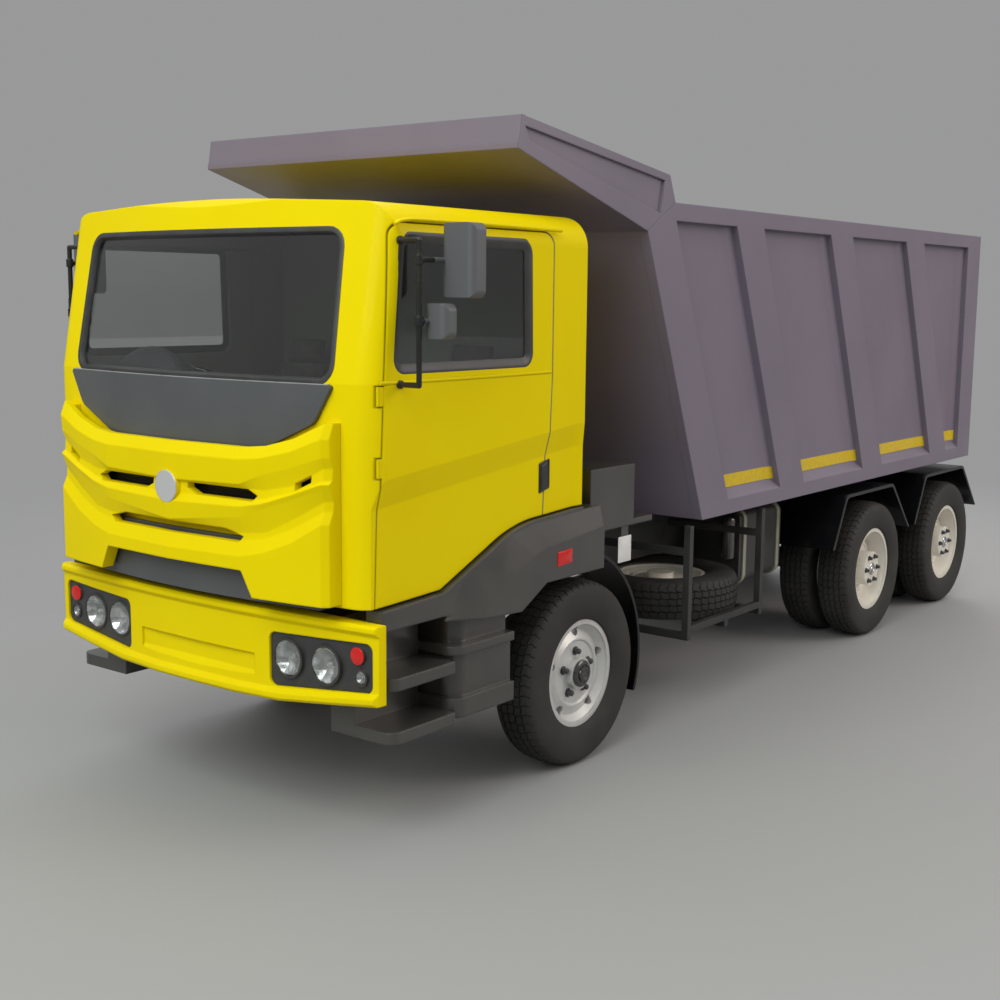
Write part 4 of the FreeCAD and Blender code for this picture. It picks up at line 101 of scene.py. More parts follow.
sky_links.new(rays.outputs["Is Camera Ray"], either.inputs[0])
sky_links.new(air.outputs[0], either.inputs[1])
sky_links.new(seen_air.outputs[0], either.inputs[2])
sky_links.new(either.outputs[0], sky_nodes["World Output"].inputs[0])

lens = bpy.data.cameras.new("photo_camera")
lens.lens = 50
lens.sensor_width = 36
eye = bpy.data.objects.new("photo_camera", lens)
studio.collection.objects.link(eye)
eye.matrix_world = (
    Matrix.Translation(camera_place)
    @ Matrix.Rotation(math.radians(camera_turn), 4, "Z")
    @ Matrix.Rotation(math.radians(90 - camera_fall), 4, "X")
    @ Matrix.Rotation(math.radians(camera_roll), 4, "Z")
)
studio.camera = eye


def finish(name, colour, wear_and_painted_reflection, patch, gloss, grain=0.0, grain_size=0.004, edge=0.0, **sockets):
    """Procedural finish on Object coordinates.
    Colour runs from colour to a second colour, and roughness between the two gloss values, with
    a cloudy noise whose patches are patch metres wide; the second colour is a worn tone on most
    finishes and a painted reflection on the chrome lamp bowls. A finer noise raises a grain;
    edge rounds sharp edges in the shading. The other values are set on the shader's own sockets."""
    material = bpy.data.materials.new(name)
    material.use_nodes = True
    tree = material.node_tree
    shader = tree.nodes["Principled BSDF"]
    place = tree.nodes.new("ShaderNodeTexCoord").outputs["Object"]
    cloud = tree.nodes.new("ShaderNodeTexNoise")
    cloud.inputs["Scale"].default_value = 1 / patch
    cloud.inputs["Detail"].default_value = 5
    tree.links.new(place, cloud.inputs["Vector"])
    blend = tree.nodes.new("ShaderNodeValToRGB")
    blend.color_ramp.elements[0].position = 0.38
    blend.color_ramp.elements[0].color = (*colour, 1)
    blend.color_ramp.elements[1].position = 0.68
    blend.color_ramp.elements[1].color = (*wear_and_painted_reflection, 1)
    tree.links.new(cloud.outputs["Fac"], blend.inputs["Fac"])
    tree.links.new(blend.outputs["Color"], shader.inputs["Base Color"])
    sheen = tree.nodes.new("ShaderNodeMapRange")
    levels = (("From Min", 0.3), ("From Max", 0.7), ("To Min", gloss[0]), ("To Max", gloss[1]))
    for socket, value in levels:
        sheen.inputs[socket].default_value = value
    tree.links.new(cloud.outputs["Fac"], sheen.inputs["Value"])
    tree.links.new(sheen.outputs["Result"], shader.inputs["Roughness"])
    soft = None
    if edge:
        soft = tree.nodes.new("ShaderNodeBevel")
        soft.samples = 4
        soft.inputs["Radius"].default_value = edge
        tree.links.new(soft.outputs["Normal"], shader.inputs["Normal"])
    if grain:
        fine = tree.nodes.new("ShaderNodeTexNoise")
        fine.inputs["Scale"].default_value = 1 / grain_size
        fine.inputs["Detail"].default_value = 3
        tree.links.new(place, fine.inputs["Vector"])
        bump = tree.nodes.new("ShaderNodeBump")
        bump.inputs["Distance"].default_value = grain
        bump.inputs["Strength"].default_value = 1
        tree.links.new(fine.outputs["Fac"], bump.inputs["Height"])
        if soft:
            tree.links.new(soft.outputs["Normal"], bump.inputs["Normal"])
        tree.links.new(bump.outputs["Normal"], shader.inputs["Normal"])
    for socket, value in sockets.items():
        shader.inputs[socket.replace("_", " ")].default_value = value
    return material


def dress(material, *nodes):
    """Gives solids of the frame their finish."""
    for node in nodes:
        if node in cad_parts:
            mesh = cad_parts[node].data
            mesh.materials.clear()
            mesh.materials.append(material)


def piece(name, mesh, body, material):
    """Adds a finished mesh to the scene, riding on a body of the truck."""
    mesh.materials.append(material)
    thing = bpy.data.objects.new(name, mesh)
    studio.collection.objects.link(thing)
    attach(thing, body)
    return thing


def skin(name, sheets, body, slot, material, ring=False, tube=False, crease=35):
    """Surface through grids of points: sheets has the form (sheet, row, column, xyz), or for a
    single sheet (row, column, xyz). ring joins the last row to the first, and tube the last
    column to the first; crease is the angle in degrees above which an edge is drawn sharp.
    Each face begins at the corner nearest to the grid's own, so that it is halved from there.
    Points that fall together are merged, and the faces are turned outwards."""
    sheets = np.asarray(sheets, dtype=float)
    if sheets.ndim == 3:
        sheets = sheets[None]
    count, rows, columns, _ = sheets.shape
    row = np.arange(rows if ring else rows - 1)[:, None]
    column = np.arange(columns if tube else columns - 1)[None, :]
    corner = [row * columns + column]
    corner.append(row * columns + (column + 1) % columns)
    corner.append((row + 1) % rows * columns + (column + 1) % columns)
    corner.append((row + 1) % rows * columns + column)
    quads = np.stack(corner, axis=-1)
    crossed = (row < rows / 2 - 1) != (column < columns / 2 - 1)
    quads = np.where(crossed[..., None], np.roll(quads, 1, axis=-1), quads).reshape(-1, 4)
    shift = np.arange(count)[:, None, None] * rows * columns
    quads = (quads[None] + shift).reshape(-1, 4)
    mesh = bpy.data.meshes.new(name)
    mesh.from_pydata(sheets.reshape(-1, 3), [], quads.tolist())
    shape = bmesh.new()
    shape.from_mesh(mesh)
    bmesh.ops.remove_doubles(shape, verts=shape.verts, dist=1e-5)
    bmesh.ops.dissolve_degenerate(shape, edges=shape.edges, dist=1e-6)
    bmesh.ops.recalc_face_normals(shape, faces=shape.faces)
    shape.to_mesh(mesh)
    shape.free()
    mesh.polygons.foreach_set("use_smooth", np.ones(len(mesh.polygons), dtype=bool))
    mesh.set_sharp_from_angle(angle=math.radians(crease))
    return piece(name, mesh, body, material)


# Floor. One large matt pale sheet on which the truck stands; it isn't part of the truck. Far
# from the truck it turns into the backdrop's own grey, so that no horizon shows.
floor_reach = 60.0
fade_start = 5.0
fade_end = 13.0
floor_points = np.array([(-1, -1, 0), (1, -1, 0), (1, 1, 0), (-1, 1, 0)]) * floor_reach
floor_mesh = bpy.data.meshes.new("studio_floor")
floor_mesh.from_pydata(floor_points, [], [(0, 1, 2, 3)])
floor = bpy.data.objects.new("studio_floor", floor_mesh)
studio.collection.objects.link(floor)
floor_matt = finish("floor_matt", studio_grey, (0.31, 0.31, 0.313), 2.5, (0.6, 0.7))
floor_tree = floor_matt.node_tree
far = floor_tree.nodes.new("ShaderNodeVectorMath")
far.operation = "LENGTH"
floor_tree.links.new(floor_tree.nodes.new("ShaderNodeTexCoord").outputs["Object"], far.inputs[0])
fade = floor_tree.nodes.new("ShaderNodeMapRange")
fade.interpolation_type = "SMOOTHSTEP"
fade.inputs["From Min"].default_value = fade_start
fade.inputs["From Max"].default_value = fade_end
floor_tree.links.new(far.outputs["Value"], fade.inputs["Value"])
glow = floor_tree.nodes.new("ShaderNodeEmission")
glow.inputs["Color"].default_value = (*studio_grey, 1)
turn_grey = floor_tree.nodes.new("ShaderNodeMixShader")
floor_tree.links.new(fade.outputs["Result"], turn_grey.inputs[0])
floor_tree.links.new(floor_tree.nodes["Principled BSDF"].outputs[0], turn_grey.inputs[1])
floor_tree.links.new(glow.outputs[0], turn_grey.inputs[2])
floor_tree.links.new(turn_grey.outputs[0], floor_tree.nodes["Material Output"].inputs["Surface"])
floor_mesh.materials.append(floor_matt)


# Chassis. Pressed-steel rails, crossmembers and brackets, riveted together and dipped in
# satin black; the axles, springs and shafts under them are a little more matt and dusty.
frame_black = finish(
    "frame_black", (0.018, 0.018, 0.019), (0.035, 0.034, 0.032), 0.4, (0.42, 0.6),
    0.0006, 0.01, 0.006,
)
axle_black = finish(
    "axle_black", (0.02, 0.02, 0.02), (0.05, 0.045, 0.04), 0.25, (0.5, 0.75), 0.001, 0.012, 0.008
)
engine_grey = finish(
    "engine_grey", (0.10, 0.10, 0.105), (0.06, 0.058, 0.055), 0.3, (0.45, 0.7), 0.0015, 0.02, 0.01
)
dress(frame_black, "frame_rails", "subframe_rails", "crossmembers", "frame_brackets", "pivot_shafts")
dress(axle_black, "axles", "leaf_springs", "propshafts", "knuckle_left", "knuckle_right")
dress(engine_grey, "engine_block")


# Tyres. Radial truck tyres of black rubber with smooth walls and four zigzag grooves; short
# slits cross the shoulders. Each is moulded in one piece and sits on its rim's bead seats.
tyre_radius = 0.530
shoulder_drop = 0.030
tread_half = 0.109
edge_lines = np.array([tread_half, 0.102, 0.094])
crown_drops = (0.013, 0.004)
groove_places = [-0.066, -0.022, 0.022, 0.066]
groove_half = 0.0035
groove_wall = 0.0015
groove_deep = 0.012
groove_sway = 0.0045
grooved_half = 0.09
slit_half = 0.035
slit_wall = 0.03
slit_shares = (0.8, 0.55)
slit_lean = 0.28
lean_pitch = 0.088
pitches = 58
wall_shape = np.array([
    (0.100, 0.0), (0.112, 0.006), (0.120, 0.022), (0.129, 0.056), (0.1335, 0.098), (0.132, 0.134),
    (0.1265, 0.165), (0.1205, 0.183),
])
liner_half = 0.085
liner_rise = 0.002
bead_radius = {"front": 0.308, "drive": 0.322}
tyre_rubber = finish(
    "tyre_rubber", (0.023, 0.022, 0.021), (0.036, 0.034, 0.031), 0.18, (0.62, 0.8), 0.0004, 0.004,
    Specular_IOR_Level=0.35,
)


def wave(phase):
    """Triangle wave of height one either side of zero, one rise and fall per whole phase."""
    return 4 * np.abs((phase + 0.25) % 1 - 0.5) - 1


def groove_lines(places, half, wall):
    """Grid lines across the tread: each groove has two on its rims and two on its floor."""
    offsets = np.array([-half - wall, -half, half, half + wall])
    lines = (np.asarray(places)[:, None] + offsets[None, :]).ravel()
    depth = np.tile([0, 1, 1, 0], len(places))
    return lines, depth


def tyre_skin(bead):
    """Points of one tyre about its own middle: (angle, line, (across, y, z)).
    The section is the wall's curve on both sides and a slightly crowned tread, closed by a liner
    inside. The tread is sunk along rings, bent sideways by a triangle wave of the angle, and
    between them along one slit in each pitch, which leans by a triangle wave of the distance
    from the middle."""
    side_share = (wall_shape[:, 1] / wall_shape[-1, 1])[:, None]
    shoulder = tyre_radius - shoulder_drop
    wall = np.hstack([wall_shape[:, :1], bead + side_share * (shoulder - bead)])
    ring_lines, ring_deep = groove_lines(groove_places, groove_half, groove_wall)
    lines = np.concatenate([-edge_lines, ring_lines, edge_lines[::-1]])
    deep = np.pad(ring_deep, len(edge_lines))
    share = lines / tread_half
    crown = tyre_radius - crown_drops[0] * share**4 - crown_drops[1] * share**2
    tread = np.column_stack([lines, crown])
    liner = np.array([(liner_half, bead + liner_rise), (-liner_half, bead + liner_rise)])
    section = np.vstack([wall * (-1, 1), tread, wall[::-1], liner])
    beside = (len(wall), len(wall) + len(liner))
    is_tread = np.pad(np.ones(len(tread)), beside)
    ring_depth = np.pad(deep, beside)
    slit_line, slit_deep = groove_lines([0.5], slit_half, slit_wall)
    column = np.concatenate([[0.0, 0.22], slit_line, [0.78]])
    slit = np.concatenate([[0, 0], slit_deep, [0]])
    turn = ((np.arange(pitches)[:, None] + column[None, :]) / pitches).ravel()[:, None]
    slit = np.tile(slit, pitches)[:, None]
    across = section[:, 0][None, :]
    lean = wave(across / lean_pitch + 0.25) * slit_lean / pitches
    angle = 2 * np.pi * (turn + lean * is_tread)
    slit_share = np.where(np.abs(across) > grooved_half, *slit_shares)
    sunk = np.where(ring_depth > 0, ring_depth, slit * is_tread * slit_share)
    radius = section[:, 1][None, :] - groove_deep * sunk
    sway = groove_sway * wave(turn * pitches) * is_tread * (np.abs(across) < grooved_half)
    return np.stack([across + sway, radius * np.cos(angle), radius * np.sin(angle)], axis=-1)


def tyre_on(name, nodes, body, bead, middles, y, z=tyre_radius, flat=False):
    """Tyres that stand for a node, one at each distance from the truck's middle; flat lays
    them on their side."""
    whole = tyre_skin(bead)[..., [1, 2, 0] if flat else [0, 1, 2]]
    sheets = [whole + (middle, y, z) for middle in middles]
    made = skin(name, sheets, body, "tyre", tyre_rubber, ring=True, tube=True, crease=28)
    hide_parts(*nodes)


def wheel_middle(node):
    """Middle of a wheel's node."""
    low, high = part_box(node)
    return [(a + b) / 2 for a, b in zip(low, high)]


twin_half = 0.161
both_sides = (("left", 1), ("right", -1))
for side, _ in both_sides:
    node = f"front_tyre_{side}"
    x, y, _ = wheel_middle(node)
    tyre_on(f"front_tread_{side}", [node], f"front_wheel_{side}", bead_radius["front"], [x], y)
    for axle in (1, 2):
        wheel = f"{axle}_{side}"
        node = f"drive_tyres_{wheel}"
        x, y, _ = wheel_middle(node)
        twins = [x - twin_half, x + twin_half]
        tyre_on(f"drive_tread_{wheel}", [node], f"drive_wheel_{wheel}", bead_radius["drive"], twins, y)
x, y, z = wheel_middle("spare_tyre")
tyre_on("spare_tread", ["spare_tyre"], "chassis", bead_radius["front"], [x], y, z, flat=True)


# Rims. Pressed-steel discs welded into rolled bands: silver in front, cream behind. Five
# domed nuts hold each front disc and six each rear pair, round a turned hub cap.
rim_silver = finish(
    "rim_silver", (0.60, 0.60, 0.59), (0.54, 0.54, 0.53), 0.12, (0.34, 0.45), 0.0003, 0.006, 0.004,
    Metallic=0.35, Coat_Weight=0.2, Coat_Roughness=0.25,
)
rim_cream = finish(
    "rim_cream", (0.76, 0.73, 0.66), (0.68, 0.65, 0.58), 0.15, (0.34, 0.46), 0.0003, 0.006, 0.004,
    Metallic=0.1, Coat_Weight=0.25, Coat_Roughness=0.2,
)
nut_black = finish(
    "nut_black", (0.022, 0.022, 0.024), (0.035, 0.034, 0.034), 0.02, (0.2, 0.35), Coat_Weight=0.5
)
hub_chrome = finish(
    "hub_chrome", (0.62, 0.62, 0.62), (0.5, 0.5, 0.5), 0.05, (0.12, 0.25), Metallic=1.0
)
dress(rim_silver, "front_rim_left", "front_rim_right")
dress(rim_cream, "spare_rim", *[f"drive_rims_{axle}_{side}" for axle in (1, 2) for side, _ in both_sides])


def turned(section, middle, axis="x", steps=48, begin=0.0):
    """A section of (out along the axis, radius) points turned about an axis through a middle."""
    angle = begin + np.linspace(0, 2 * np.pi, steps, endpoint=False)[:, None]
    section = np.asarray(section, dtype=float)
    out = section[:, 0][None, :] * np.ones_like(angle)
    first = section[:, 1][None, :] * np.cos(angle)
    second = section[:, 1][None, :] * np.sin(angle)
    order = {"x": (out, first, second), "y": (first, out, second), "z": (first, second, out)}[axis]
    return np.stack(order, axis=-1) + np.asarray(middle, dtype=float)


nut_section = np.array(
    [(0, 0), (0, 0.026), (0.006, 0.026), (0.007, 0.019), (0.030, 0.0175), (0.036, 0.012), (0.038, 0)]
)
cap_section = np.array([
    (0, 0), (0, 0.078), (0.012, 0.077), (0.018, 0.070), (0.020, 0.056), (0.014, 0.052), (0.014, 0.046),
    (0.026, 0.042), (0.030, 0.030), (0.026, 0.026), (0.026, 0),
])
front_disc_in = 0.0395
front_nuts = (0.126, 5, math.radians(92))
drive_nuts = (0.104, 6, math.radians(60))
drive_nut_scale = 0.8
drive_cap_scale = 0.62


def round_pattern(middle, radius, count, begin):
    """Middles of a count of like things spaced evenly on a circle across the wheel's axis."""
    angle = begin + np.arange(count) * 2 * np.pi / count
    places = np.stack([np.zeros(count), radius * np.cos(angle), radius * np.sin(angle)], axis=-1)
    return places + np.asarray(middle)


def outer_face(node, sign):
    """Middle of a node's face on the truck's outside."""
    _, y, z = wheel_middle(node)
    return np.array([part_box(node)[sign > 0][0], y, z])


for side, sign in both_sides:
    flip = np.array([sign, 1])
    face = outer_face(f"front_rim_{side}", sign)
    wheel = f"front_wheel_{side}"
    disc = face - (sign * front_disc_in, 0, 0)
    nuts = [turned(nut_section * flip, place, "x", 12) for place in round_pattern(disc, *front_nuts)]
    skin(f"front_nuts_{side}", nuts, wheel, "chassis_black", nut_black, ring=True)
    cap = turned(cap_section * flip, face, "x", 48)
    skin(f"front_cap_{side}", cap, wheel, "chassis_black", nut_black, ring=True)
    for axle in (1, 2):
        face = outer_face(f"drive_rims_{axle}_{side}", sign)
        wheel = f"drive_wheel_{axle}_{side}"
        section = nut_section * flip * drive_nut_scale
        nuts = [turned(section, place, "x", 12) for place in round_pattern(face, *drive_nuts)]
        skin(f"drive_nuts_{axle}_{side}", nuts, wheel, "rim_cream", nut_black, ring=True)
        cap = turned(cap_section * flip * drive_cap_scale, face, "x", 40)
        skin(f"drive_cap_{axle}_{side}", cap, wheel, "rim_cream", hub_chrome, ring=True)


# Cab. Welded steel panels in yellow enamel under a thin clear coat; the doors, front panel and
# bumper are sprayed with it too. Inside, the cab and the doors are lined in dark grey, and the
# blank badge on the front panel is of brushed light metal.
enamel_colours = ((0.79, 0.628, 0.001), (0.76, 0.59, 0.001), 0.9, (0.40, 0.46), 0.00005, 0.03, 0.012)
enamel_sockets = {"Coat_Weight": 0.05, "Coat_Roughness": 0.10, "Specular_IOR_Level": 0.03}
badge_middle = (0, -4.116, 1.700)
badge_reach = (0.0805, 0.020, 0.0805)
badge_look = ((0.66, 0.66, 0.67), 0.3, 0.5)
cab_middle = (0, -3.0, 2.2)
lining_look = ((0.34, 0.34, 0.325), 0.75)


def repainted(material, mask, colour, gloss, metal=0.0):
    """Gives a finish another colour, gloss and metal where the mask is one. A mix node keeps
    its colours on the sockets 6, 7 and 2, and its plain values on 2, 3 and 0."""
    tree = material.node_tree
    shader = tree.nodes["Principled BSDF"]
    for socket, value in (("Base Color", (*colour, 1)), ("Roughness", gloss), ("Metallic", metal)):
        mixer = tree.nodes.new("ShaderNodeMix")
        mixer.data_type = "RGBA" if socket == "Base Color" else "FLOAT"
        first, second, out = (6, 7, 2) if socket == "Base Color" else (2, 3, 0)
        tree.links.new(mask, mixer.inputs[0])
        if shader.inputs[socket].is_linked:
            tree.links.new(shader.inputs[socket].links[0].from_socket, mixer.inputs[first])
        else:
            mixer.inputs[first].default_value = shader.inputs[socket].default_value
        mixer.inputs[second].default_value = value
        tree.links.new(mixer.outputs[out], shader.inputs[socket])


def inside(material, middle, reach):
    """Mask of an ellipsoid about a middle, the same on both sides of the truck: one where the
    length of ((|x|, y, z) - middle) / reach is under one."""
    tree = material.node_tree
    place = tree.nodes.new("ShaderNodeTexCoord").outputs["Object"]
    split = tree.nodes.new("ShaderNodeSeparateXYZ")
    joined = tree.nodes.new("ShaderNodeCombineXYZ")
    size = tree.nodes.new("ShaderNodeMath")
    size.operation = "ABSOLUTE"
    tree.links.new(place, split.inputs[0])
    tree.links.new(split.outputs["X"], size.inputs[0])
    tree.links.new(size.outputs[0], joined.inputs["X"])
    tree.links.new(split.outputs["Y"], joined.inputs["Y"])
    tree.links.new(split.outputs["Z"], joined.inputs["Z"])
    value = joined.outputs[0]
    for operation, other in (("SUBTRACT", middle), ("DIVIDE", reach), ("LENGTH", None)):
        step = tree.nodes.new("ShaderNodeVectorMath")
        step.operation = operation
        tree.links.new(value, step.inputs[0])
        if other:
            step.inputs[1].default_value = other
        value = step.outputs["Value"] if operation == "LENGTH" else step.outputs["Vector"]
    test = tree.nodes.new("ShaderNodeMath")
    test.operation = "LESS_THAN"
    test.inputs[1].default_value = 1
    tree.links.new(value, test.inputs[0])
    return test.outputs[0]


def turned_inwards(material, middle):
    """Mask of the faces that look towards a middle: one where (place - middle) . normal < 0."""
    tree = material.node_tree
    where = tree.nodes.new("ShaderNodeTexCoord")
    way = tree.nodes.new("ShaderNodeVectorMath")
    way.operation = "SUBTRACT"
    way.inputs[1].default_value = middle
    product = tree.nodes.new("ShaderNodeVectorMath")
    product.operation = "DOT_PRODUCT"
    test = tree.nodes.new("ShaderNodeMath")
    test.operation = "LESS_THAN"
    test.inputs[1].default_value = 0
    tree.links.new(where.outputs["Object"], way.inputs[0])
    tree.links.new(way.outputs["Vector"], product.inputs[0])
    tree.links.new(where.outputs["Normal"], product.inputs[1])
    tree.links.new(product.outputs["Value"], test.inputs[0])
    return test.outputs[0]


cab_enamel = finish("cab_enamel", *enamel_colours, **enamel_sockets)
lined_enamel = finish("lined_enamel", *enamel_colours, **enamel_sockets)
repainted(lined_enamel, turned_inwards(lined_enamel, cab_middle), *lining_look)
panel_enamel = finish("panel_enamel", *enamel_colours, **enamel_sockets)
repainted(panel_enamel, inside(panel_enamel, badge_middle, badge_reach), *badge_look)
dress(lined_enamel, "cab_shell", "door_left", "door_right")
dress(panel_enamel, "front_panel")
dress(cab_enamel, "bumper")


# Dark trim. The band under the windscreen, the arch trims, the steps and the boxes behind the
# cab are moulded in grained dark grey plastic; the rear guards are of black laminate.
trim_plastic = finish(
    "trim_plastic", (0.034, 0.033, 0.030), (0.048, 0.045, 0.040), 0.3, (0.30, 0.42),
    0.0002, 0.0025, 0.016, Coat_Weight=0.5, Coat_Roughness=0.22,
)
band_plastic = finish(
    "band_plastic", (0.072, 0.076, 0.082), (0.084, 0.088, 0.092), 0.4, (0.36, 0.46),
    0.0001, 0.002, 0.006,
)
gloss_black = finish(
    "gloss_black", (0.003, 0.003, 0.004), (0.005, 0.005, 0.006), 0.5, (0.18, 0.26),
    0.0, 0.01, 0.010, Coat_Weight=0.15, Coat_Roughness=0.06, Specular_IOR_Level=0.3,
)
dress(trim_plastic, "steps", "arch_trims", "side_boxes")
dress(band_plastic, "windscreen_band")
dress(gloss_black, "mudguards")


# Windows. Laminated green-grey glass set in wide black rubber seals that grip the panel's edge
# and slope in to the pane; the windscreen's glass bows with the cab's nose.
window_glass = finish(
    "window_glass", (0.68, 0.71, 0.69), (0.70, 0.73, 0.71), 0.5, (0.0, 0.015),
    Transmission_Weight=1.0, IOR=1.55,
)
seal_rubber = finish("seal_rubber", (0.030, 0.030, 0.031), (0.042, 0.042, 0.042), 0.1, (0.38, 0.5))
dress(window_glass, "windscreen", "door_glass_left", "door_glass_right")
axle_y = wheel_middle("front_tyre_left")[1]
cab_half = 1.180
cab_point = 1.888
nose_rise_share = 0.11525
nose_bend = 5.0
belt_z = 2.240
rake_share = 0.179
window_corners = np.array([(-1.602, 2.285), (-0.528, 2.285), (-0.545, 2.920), (-1.545, 2.920)])
window_bend = 0.070
window_face = cab_half - 0.0065
screen_corners = np.array([(-0.958, 2.237), (0.958, 2.237), (0.928, 2.946), (-0.928, 2.946)])
screen_bend = 0.085
screen_points = 180


def rounded(corners, bends, steps=8):
    """Closed outline with its corners rounded: each arc is the exact circle through the two
    points at bend / tan(half the corner) from the corner, as a weighted quadratic curve."""
    corners = np.asarray(corners, dtype=float)
    bends = np.broadcast_to(np.asarray(bends, dtype=float), (len(corners),))[:, None]
    before = np.roll(corners, 1, axis=0) - corners
    after = np.roll(corners, -1, axis=0) - corners
    before /= np.linalg.norm(before, axis=1, keepdims=True)
    after /= np.linalg.norm(after, axis=1, keepdims=True)
    inner = np.arccos(np.clip((before * after).sum(axis=1, keepdims=True), -1, 1))
    reach = bends / np.tan(inner / 2)
    weight = np.sin(inner / 2)[:, None]
    share = np.linspace(0, 1, steps)[None, :, None]
    start = (corners + before * reach)[:, None]
    end = (corners + after * reach)[:, None]
    pull = 2 * share * (1 - share) * weight
    top = (1 - share) ** 2 * start + pull * corners[:, None] + share**2 * end
    bottom = (1 - share) ** 2 + pull + share**2
    return (top / bottom).reshape(-1, corners.shape[1])


def evenly(path, count):
    """Points at even distances along a closed path."""
    loop = np.vstack([path, path[:1]])
    far = np.concatenate([[0], np.cumsum(np.linalg.norm(np.diff(loop, axis=0), axis=1))])
    wanted = np.linspace(0, far[-1], count, endpoint=False)
    return np.column_stack([np.interp(wanted, far, loop[:, axis]) for axis in range(loop.shape[1])])


def carried(path, out, section, closed=True):
    """A section of (aside, out) points carried along a path, each place with its own outward
    direction; aside is square to the path and to that direction. An open path's ends are
    closed onto the section's middle."""
    path = np.asarray(path, dtype=float)
    if closed:
        way = np.roll(path, -1, axis=0) - np.roll(path, 1, axis=0)
    else:
        way = np.gradient(path, axis=0)
    way /= np.linalg.norm(way, axis=1, keepdims=True)
    out = np.broadcast_to(np.asarray(out, dtype=float), path.shape)
    aside = np.cross(way, out)
    aside /= np.linalg.norm(aside, axis=1, keepdims=True)
    section = np.asarray(section, dtype=float)
    sheet = path[:, None] + aside[:, None] * section[None, :, :1] + out[:, None] * section[None, :, 1:]
    if closed:
        return sheet
    first, last = (
        np.broadcast_to(end.mean(axis=1, keepdims=True), end.shape) for end in (sheet[:1], sheet[-1:])
    )
    return np.concatenate([first, sheet, last])


def nose_place(x, z, out=0.0):
    """Places on the cab's nose, out from it by a distance, and the directions out of it.
    In plan the nose is two straight lines that meet in an arc of radius nose_bend; above the
    belt it leans back by rake_share."""
    slant = math.atan(nose_rise_share)
    arc_half = nose_bend * math.sin(slant)
    arc = nose_bend / math.cos(slant) - np.sqrt(nose_bend**2 - np.minimum(np.abs(x), arc_half) ** 2)
    line = np.abs(x) * nose_rise_share
    y = -cab_point + np.where(np.abs(x) < arc_half, arc, line) + rake_share * np.maximum(z - belt_z, 0)
    slope = np.where(np.abs(x) < arc_half, x / nose_bend, np.sign(x) * nose_rise_share)
    way = np.stack([slope, -np.ones_like(x), np.where(z > belt_z, rake_share, 0.0)], axis=-1)
    way /= np.linalg.norm(way, axis=1, keepdims=True)
    return np.column_stack([x, y + axle_y, z]) + way * out, way


seal_section = np.array(
    [(-0.012, -0.020), (-0.012, 0.004), (-0.002, 0.007), (0.014, 0.006), (0.044, -0.011), (0.044, -0.020)]
)
screen_section = np.array(
    [(0.010, -0.022), (0.010, 0.003), (0.0, 0.006), (-0.014, 0.004), (-0.026, -0.014), (-0.026, -0.022)]
)
seal_look = ("dark_plastic", seal_rubber)
outline = rounded(window_corners, window_bend)
for side, sign in both_sides:
    face = np.full(len(outline), sign * window_face)
    path = np.column_stack([face, outline[:, 0] + axle_y, outline[:, 1]])
    sheet = carried(path, (sign, 0, 0), seal_section * (-sign, 1))
    skin(f"window_seal_{side}", sheet, f"door_{side}", *seal_look, ring=True, tube=True)
screen_path = evenly(rounded(screen_corners, screen_bend), screen_points)
sheet = carried(*nose_place(screen_path[:, 0], screen_path[:, 1]), screen_section)
skin("screen_seal", sheet, "chassis", *seal_look, ring=True, tube=True)


# Mouldings. A rain channel of folded steel is welded over each door, a pressed ridge runs
# along the belt under each side window, and a pale grey strip edges the dark band's top; its pale colour is
# a painted highlight along that edge.
strip_painted_highlight = finish("strip_painted_highlight", (0.20, 0.20, 0.21), (0.25, 0.25, 0.26), 0.1, (0.25, 0.35))
channel_section = np.array(
    [(-0.008, -0.001), (-0.011, 0.004), (-0.007, 0.016), (0.001, 0.018), (0.006, 0.010), (0.009, -0.001)]
)
ridge_section = np.array(
    [(-0.011, -0.001), (-0.007, 0.003), (0.0, 0.0045), (0.007, 0.003), (0.011, -0.001)]
)
strip_section = [(-0.003, -0.014), (-0.004, 0.002), (0.0, 0.0055), (0.004, 0.002), (0.003, -0.014)]
channel_line = np.array(
    [(-1.600, 2.962), (-1.560, 2.980), (-1.480, 2.988), (-1.0, 2.990), (-0.30, 2.984)]
)
ridge_line = np.array([(-1.690, 2.246), (-1.2, 2.246), (-0.80, 2.247), (-0.362, 2.250)])
line_points = 40
strip_half = 0.955
strip_z = 2.2335
strip_out = 0.018
strip_points = 60
for side, sign in both_sides:
    lines = (
        ("rain_channel", channel_line, channel_section, "chassis"),
        ("belt_ridge", ridge_line, ridge_section, f"door_{side}"),
    )
    for name, line, section, body in lines:
        along = np.linspace(line[0, 0], line[-1, 0], line_points)
        up = np.interp(along, line[:, 0], line[:, 1])
        path = np.column_stack([np.full(line_points, sign * cab_half), along + axle_y, up])
        sheet = carried(path, (sign, 0, 0), section * (-sign, 1), closed=False)
        skin(f"{name}_{side}", sheet, body, "cab_yellow", cab_enamel, tube=True)
strip_x = np.linspace(-strip_half, strip_half, strip_points)
strip_places, strip_ways = nose_place(strip_x, np.full(strip_points, strip_z), strip_out)
sheet = carried(strip_places, strip_ways, strip_section, closed=False)
skin("band_strip", sheet, "chassis", "dark_plastic", strip_painted_highlight, tube=True)
